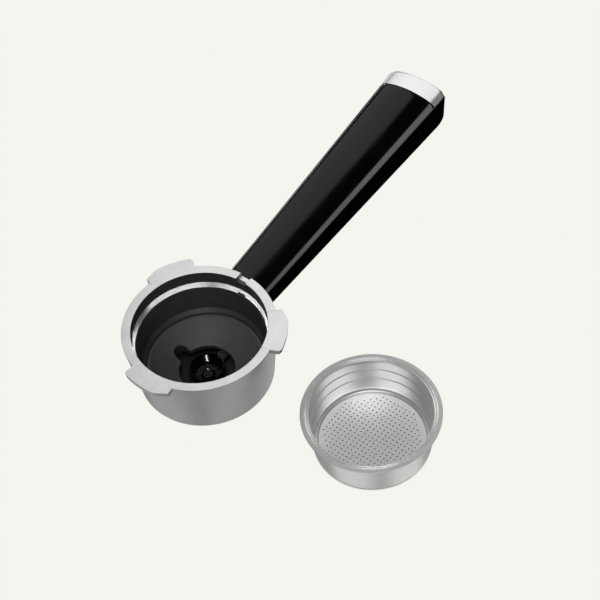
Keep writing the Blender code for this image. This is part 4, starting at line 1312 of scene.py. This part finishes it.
def make_tent(radiance, lit):
    """A round light tent that lights some pieces evenly from every side."""
    bm = bmesh.new()
    bmesh.ops.create_icosphere(bm, subdivisions=4, radius=2.5)
    bmesh.ops.reverse_faces(bm, faces=bm.faces)
    tent = object_from("tent", bm)
    tent.data.materials.append(glowing_material("tent_cloth", (radiance, radiance, radiance)))
    tent.visible_camera = False
    tent.visible_shadow = False
    tent.light_linking.receiver_collection = linked("tent_lit", lit)
    tent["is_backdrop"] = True


def make_world(colour):
    """The pale room behind the floor's edge: only the camera sees it."""
    world = bpy.data.worlds.new("studio")
    world.use_nodes = True
    tree = world.node_tree
    background = tree.nodes["Background"]
    background.inputs["Color"].default_value = (*colour, 1)
    rays = tree.nodes.new("ShaderNodeLightPath")
    tree.links.new(rays.outputs["Is Camera Ray"], background.inputs["Strength"])
    bpy.context.scene.world = world


def make_camera():
    azimuth = math.radians(-49.2)
    elevation = math.radians(51.6)
    roll = math.radians(-6.08)
    distance = 0.658
    aim = Vector((46.1, -16.4, -20.2)) * MM
    back = Vector((math.sin(azimuth) * math.cos(elevation), -math.cos(azimuth) * math.cos(elevation),
                   math.sin(elevation)))
    data = bpy.data.cameras.new("camera")
    data.lens = 91.4
    data.sensor_width = 36
    data.clip_start = 0.01
    camera = bpy.data.objects.new("camera", data)
    bpy.context.scene.collection.objects.link(camera)
    camera.rotation_mode = "QUATERNION"
    camera.location = aim + back * distance
    facing = (-back).to_track_quat("-Z", "Y")
    camera.rotation_quaternion = facing @ Matrix.Rotation(roll, 3, "Z").to_quaternion()
    bpy.context.scene.camera = camera


def linear(level):
    """The light that an 8-bit display level stands for."""
    share = level / 255
    return share / 12.92 if share <= 0.04045 else ((share + 0.055) / 1.055) ** 2.4


def light_studio(cup, ring, cap, basket_wall, basket_floor, fasteners, handle, spout, liner):
    """Each finish has its own lights, tuned until it came near its look in the photo."""
    steel = [cup] + fasteners
    make_tent(0.34, steel + [basket_wall])
    soft_box("cup_top", 33, 58, 0.42, 0.35, 0.35, 1.4, steel)
    soft_box("cup_low_left", 141, -62, 0.7, 0.45, 0.4, 0.3, steel)
    soft_box("cup_low_front", 245, -62, 0.7, 0.4, 0.4, 0.28, steel)
    soft_box("cup_low_right", 351, -62, 0.7, 0.45, 0.4, 0.3, steel)
    soft_box("sheet_low_left", 177, -50, 0.7, 0.5, 0.6, 0.6, [basket_wall], True)
    soft_box("sheet_low_right", 281, -50, 0.7, 0.5, 0.6, 0.6, [basket_wall], True)
    soft_box("sheet_front", 221, 50, 0.7, 0.5, 0.5, 1.8, [basket_wall])
    soft_box("sheet_rim", 41, 52, 0.9, 0.6, 0.6, 0.1, [basket_wall])
    for turn, lift in ((85, 28), (41, 16), (357, 28)):
        soft_box(f"sheet_bead_{turn}", turn, lift, 0.7, 0.3, 0.3, 3.0, [basket_wall])
    soft_box("sheet_top", 41, 52, 0.9, 1.2, 1.2, 0.75, [basket_floor], True)
    for turn in (110, 170, 288, 350):
        soft_box(f"sheet_inside_{turn}", turn, -72, 0.045, 0.02, 0.02, 0.6, [basket_wall], True)
    for turn, reach in ((75, 0.5), (118, 0.62), (165, 0.6), (225, 0.6), (272, 0.6), (355, 0.5)):
        soft_box(f"ring_low_{turn}", turn, -25, 0.7, reach, 0.6, 0.85, [ring], True)
    soft_box("cap_sky", 50, 58, 0.45, 0.8, 0.7, 1.0, [cap])
    soft_box("cap_left", 61, -12, 0.7, 0.6, 0.4, 0.9, [cap])
    soft_box("cap_right", 305, 35, 0.7, 0.4, 0.4, 0.2, [cap])
    soft_box("handle_back", 56, 42, 0.9, 0.6, 0.7, 0.6, handle)
    soft_box("handle_stripe", 305, 35, 0.9, 0.9, 0.5, 2.6, handle)
    soft_box("handle_left", 61, -12, 0.9, 0.9, 0.25, 2.8, handle)
    soft_box("handle_fill", 140, 20, 0.9, 0.5, 0.3, 1.5, handle)
    soft_box("handle_under", 120, -60, 0.9, 0.5, 0.5, 1.5, handle)
    soft_box("spout_side", 210, 15, 0.8, 0.5, 0.4, 1.2, spout)
    soft_box("spout_under", 40, -60, 0.8, 0.5, 0.5, 1.2, spout)
    soft_box("well_glint", 215, -52, 0.7, 0.06, 0.25, 20.0, spout[:1], True)
    soft_box("well_top", 41, 52, 0.5, 0.2, 0.2, 0.25, spout, True)
    soft_box("liner_top", 60, 75, 0.8, 0.8, 0.8, 2.7, liner)
    soft_box("liner_front", 221, 40, 0.8, 0.6, 0.6, 3.0, liner)


def main():
    steel = satin_steel()
    bright = bright_steel()
    silver = satin_silver()
    sheet = basket_steel()
    zinc = zinc_steel()
    plastic = liner_black()
    gloss = gloss_black("gloss_black", 0.004, 0.12, 0.18)
    grip_gloss = gloss_black("grip_black", 0.003, 0.12, 0.2)
    spout_gloss = gloss_black("spout_black", 0.008, 0.12, 0.2)
    seal = silicone_grey()
    nylon = core_nylon()

    cup = make_cup(steel)
    liner = make_liner(plastic, well_painted_shade())
    ring = make_ring(bright)
    nozzle = make_nozzle(spout_gloss)
    spout = make_spout(spout_gloss)
    cover = make_handle_cover(gloss)
    grip = make_grip(grip_gloss)
    cap = make_cap(silver)
    basket = make_basket(sheet, perforated_steel_painted_shade(), polished_bead_painted_highlight())
    make_spring(zinc)
    dress_nodes((
        (zinc, LINER_SCREWS + COVER_SCREWS + ("handle_rod", "rod_washer", "rod_nut")),
        (seal, ("nozzle_seal", "spout_gasket", "valve_seal")),
        (nylon, ("handle_core", "valve_retainer")),
        (spout_gloss, ("valve_plunger",)),
    ))

    pale = (linear(245), linear(244), linear(239))
    make_floor(pale)
    make_world(pale)
    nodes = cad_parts
    basket_floor = bpy.data.objects["basket_floor"]
    fasteners = [nodes[name] for name in LINER_SCREWS + COVER_SCREWS]
    inside = [liner, nodes["nozzle_seal"], nodes["spout_gasket"]]
    outlet = [nozzle, spout, nodes["valve_plunger"]]
    light_studio(cup, ring, cap, basket, basket_floor, fasteners, [cover, grip], outlet, inside)
    make_camera()
    bpy.context.scene.view_settings.view_transform = "Standard"


main()

boxes = {"cad": (CAD_LOW, CAD_HIGH), "visual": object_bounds()}
{name: [list(corner) for corner in box] for name, box in boxes.items()}
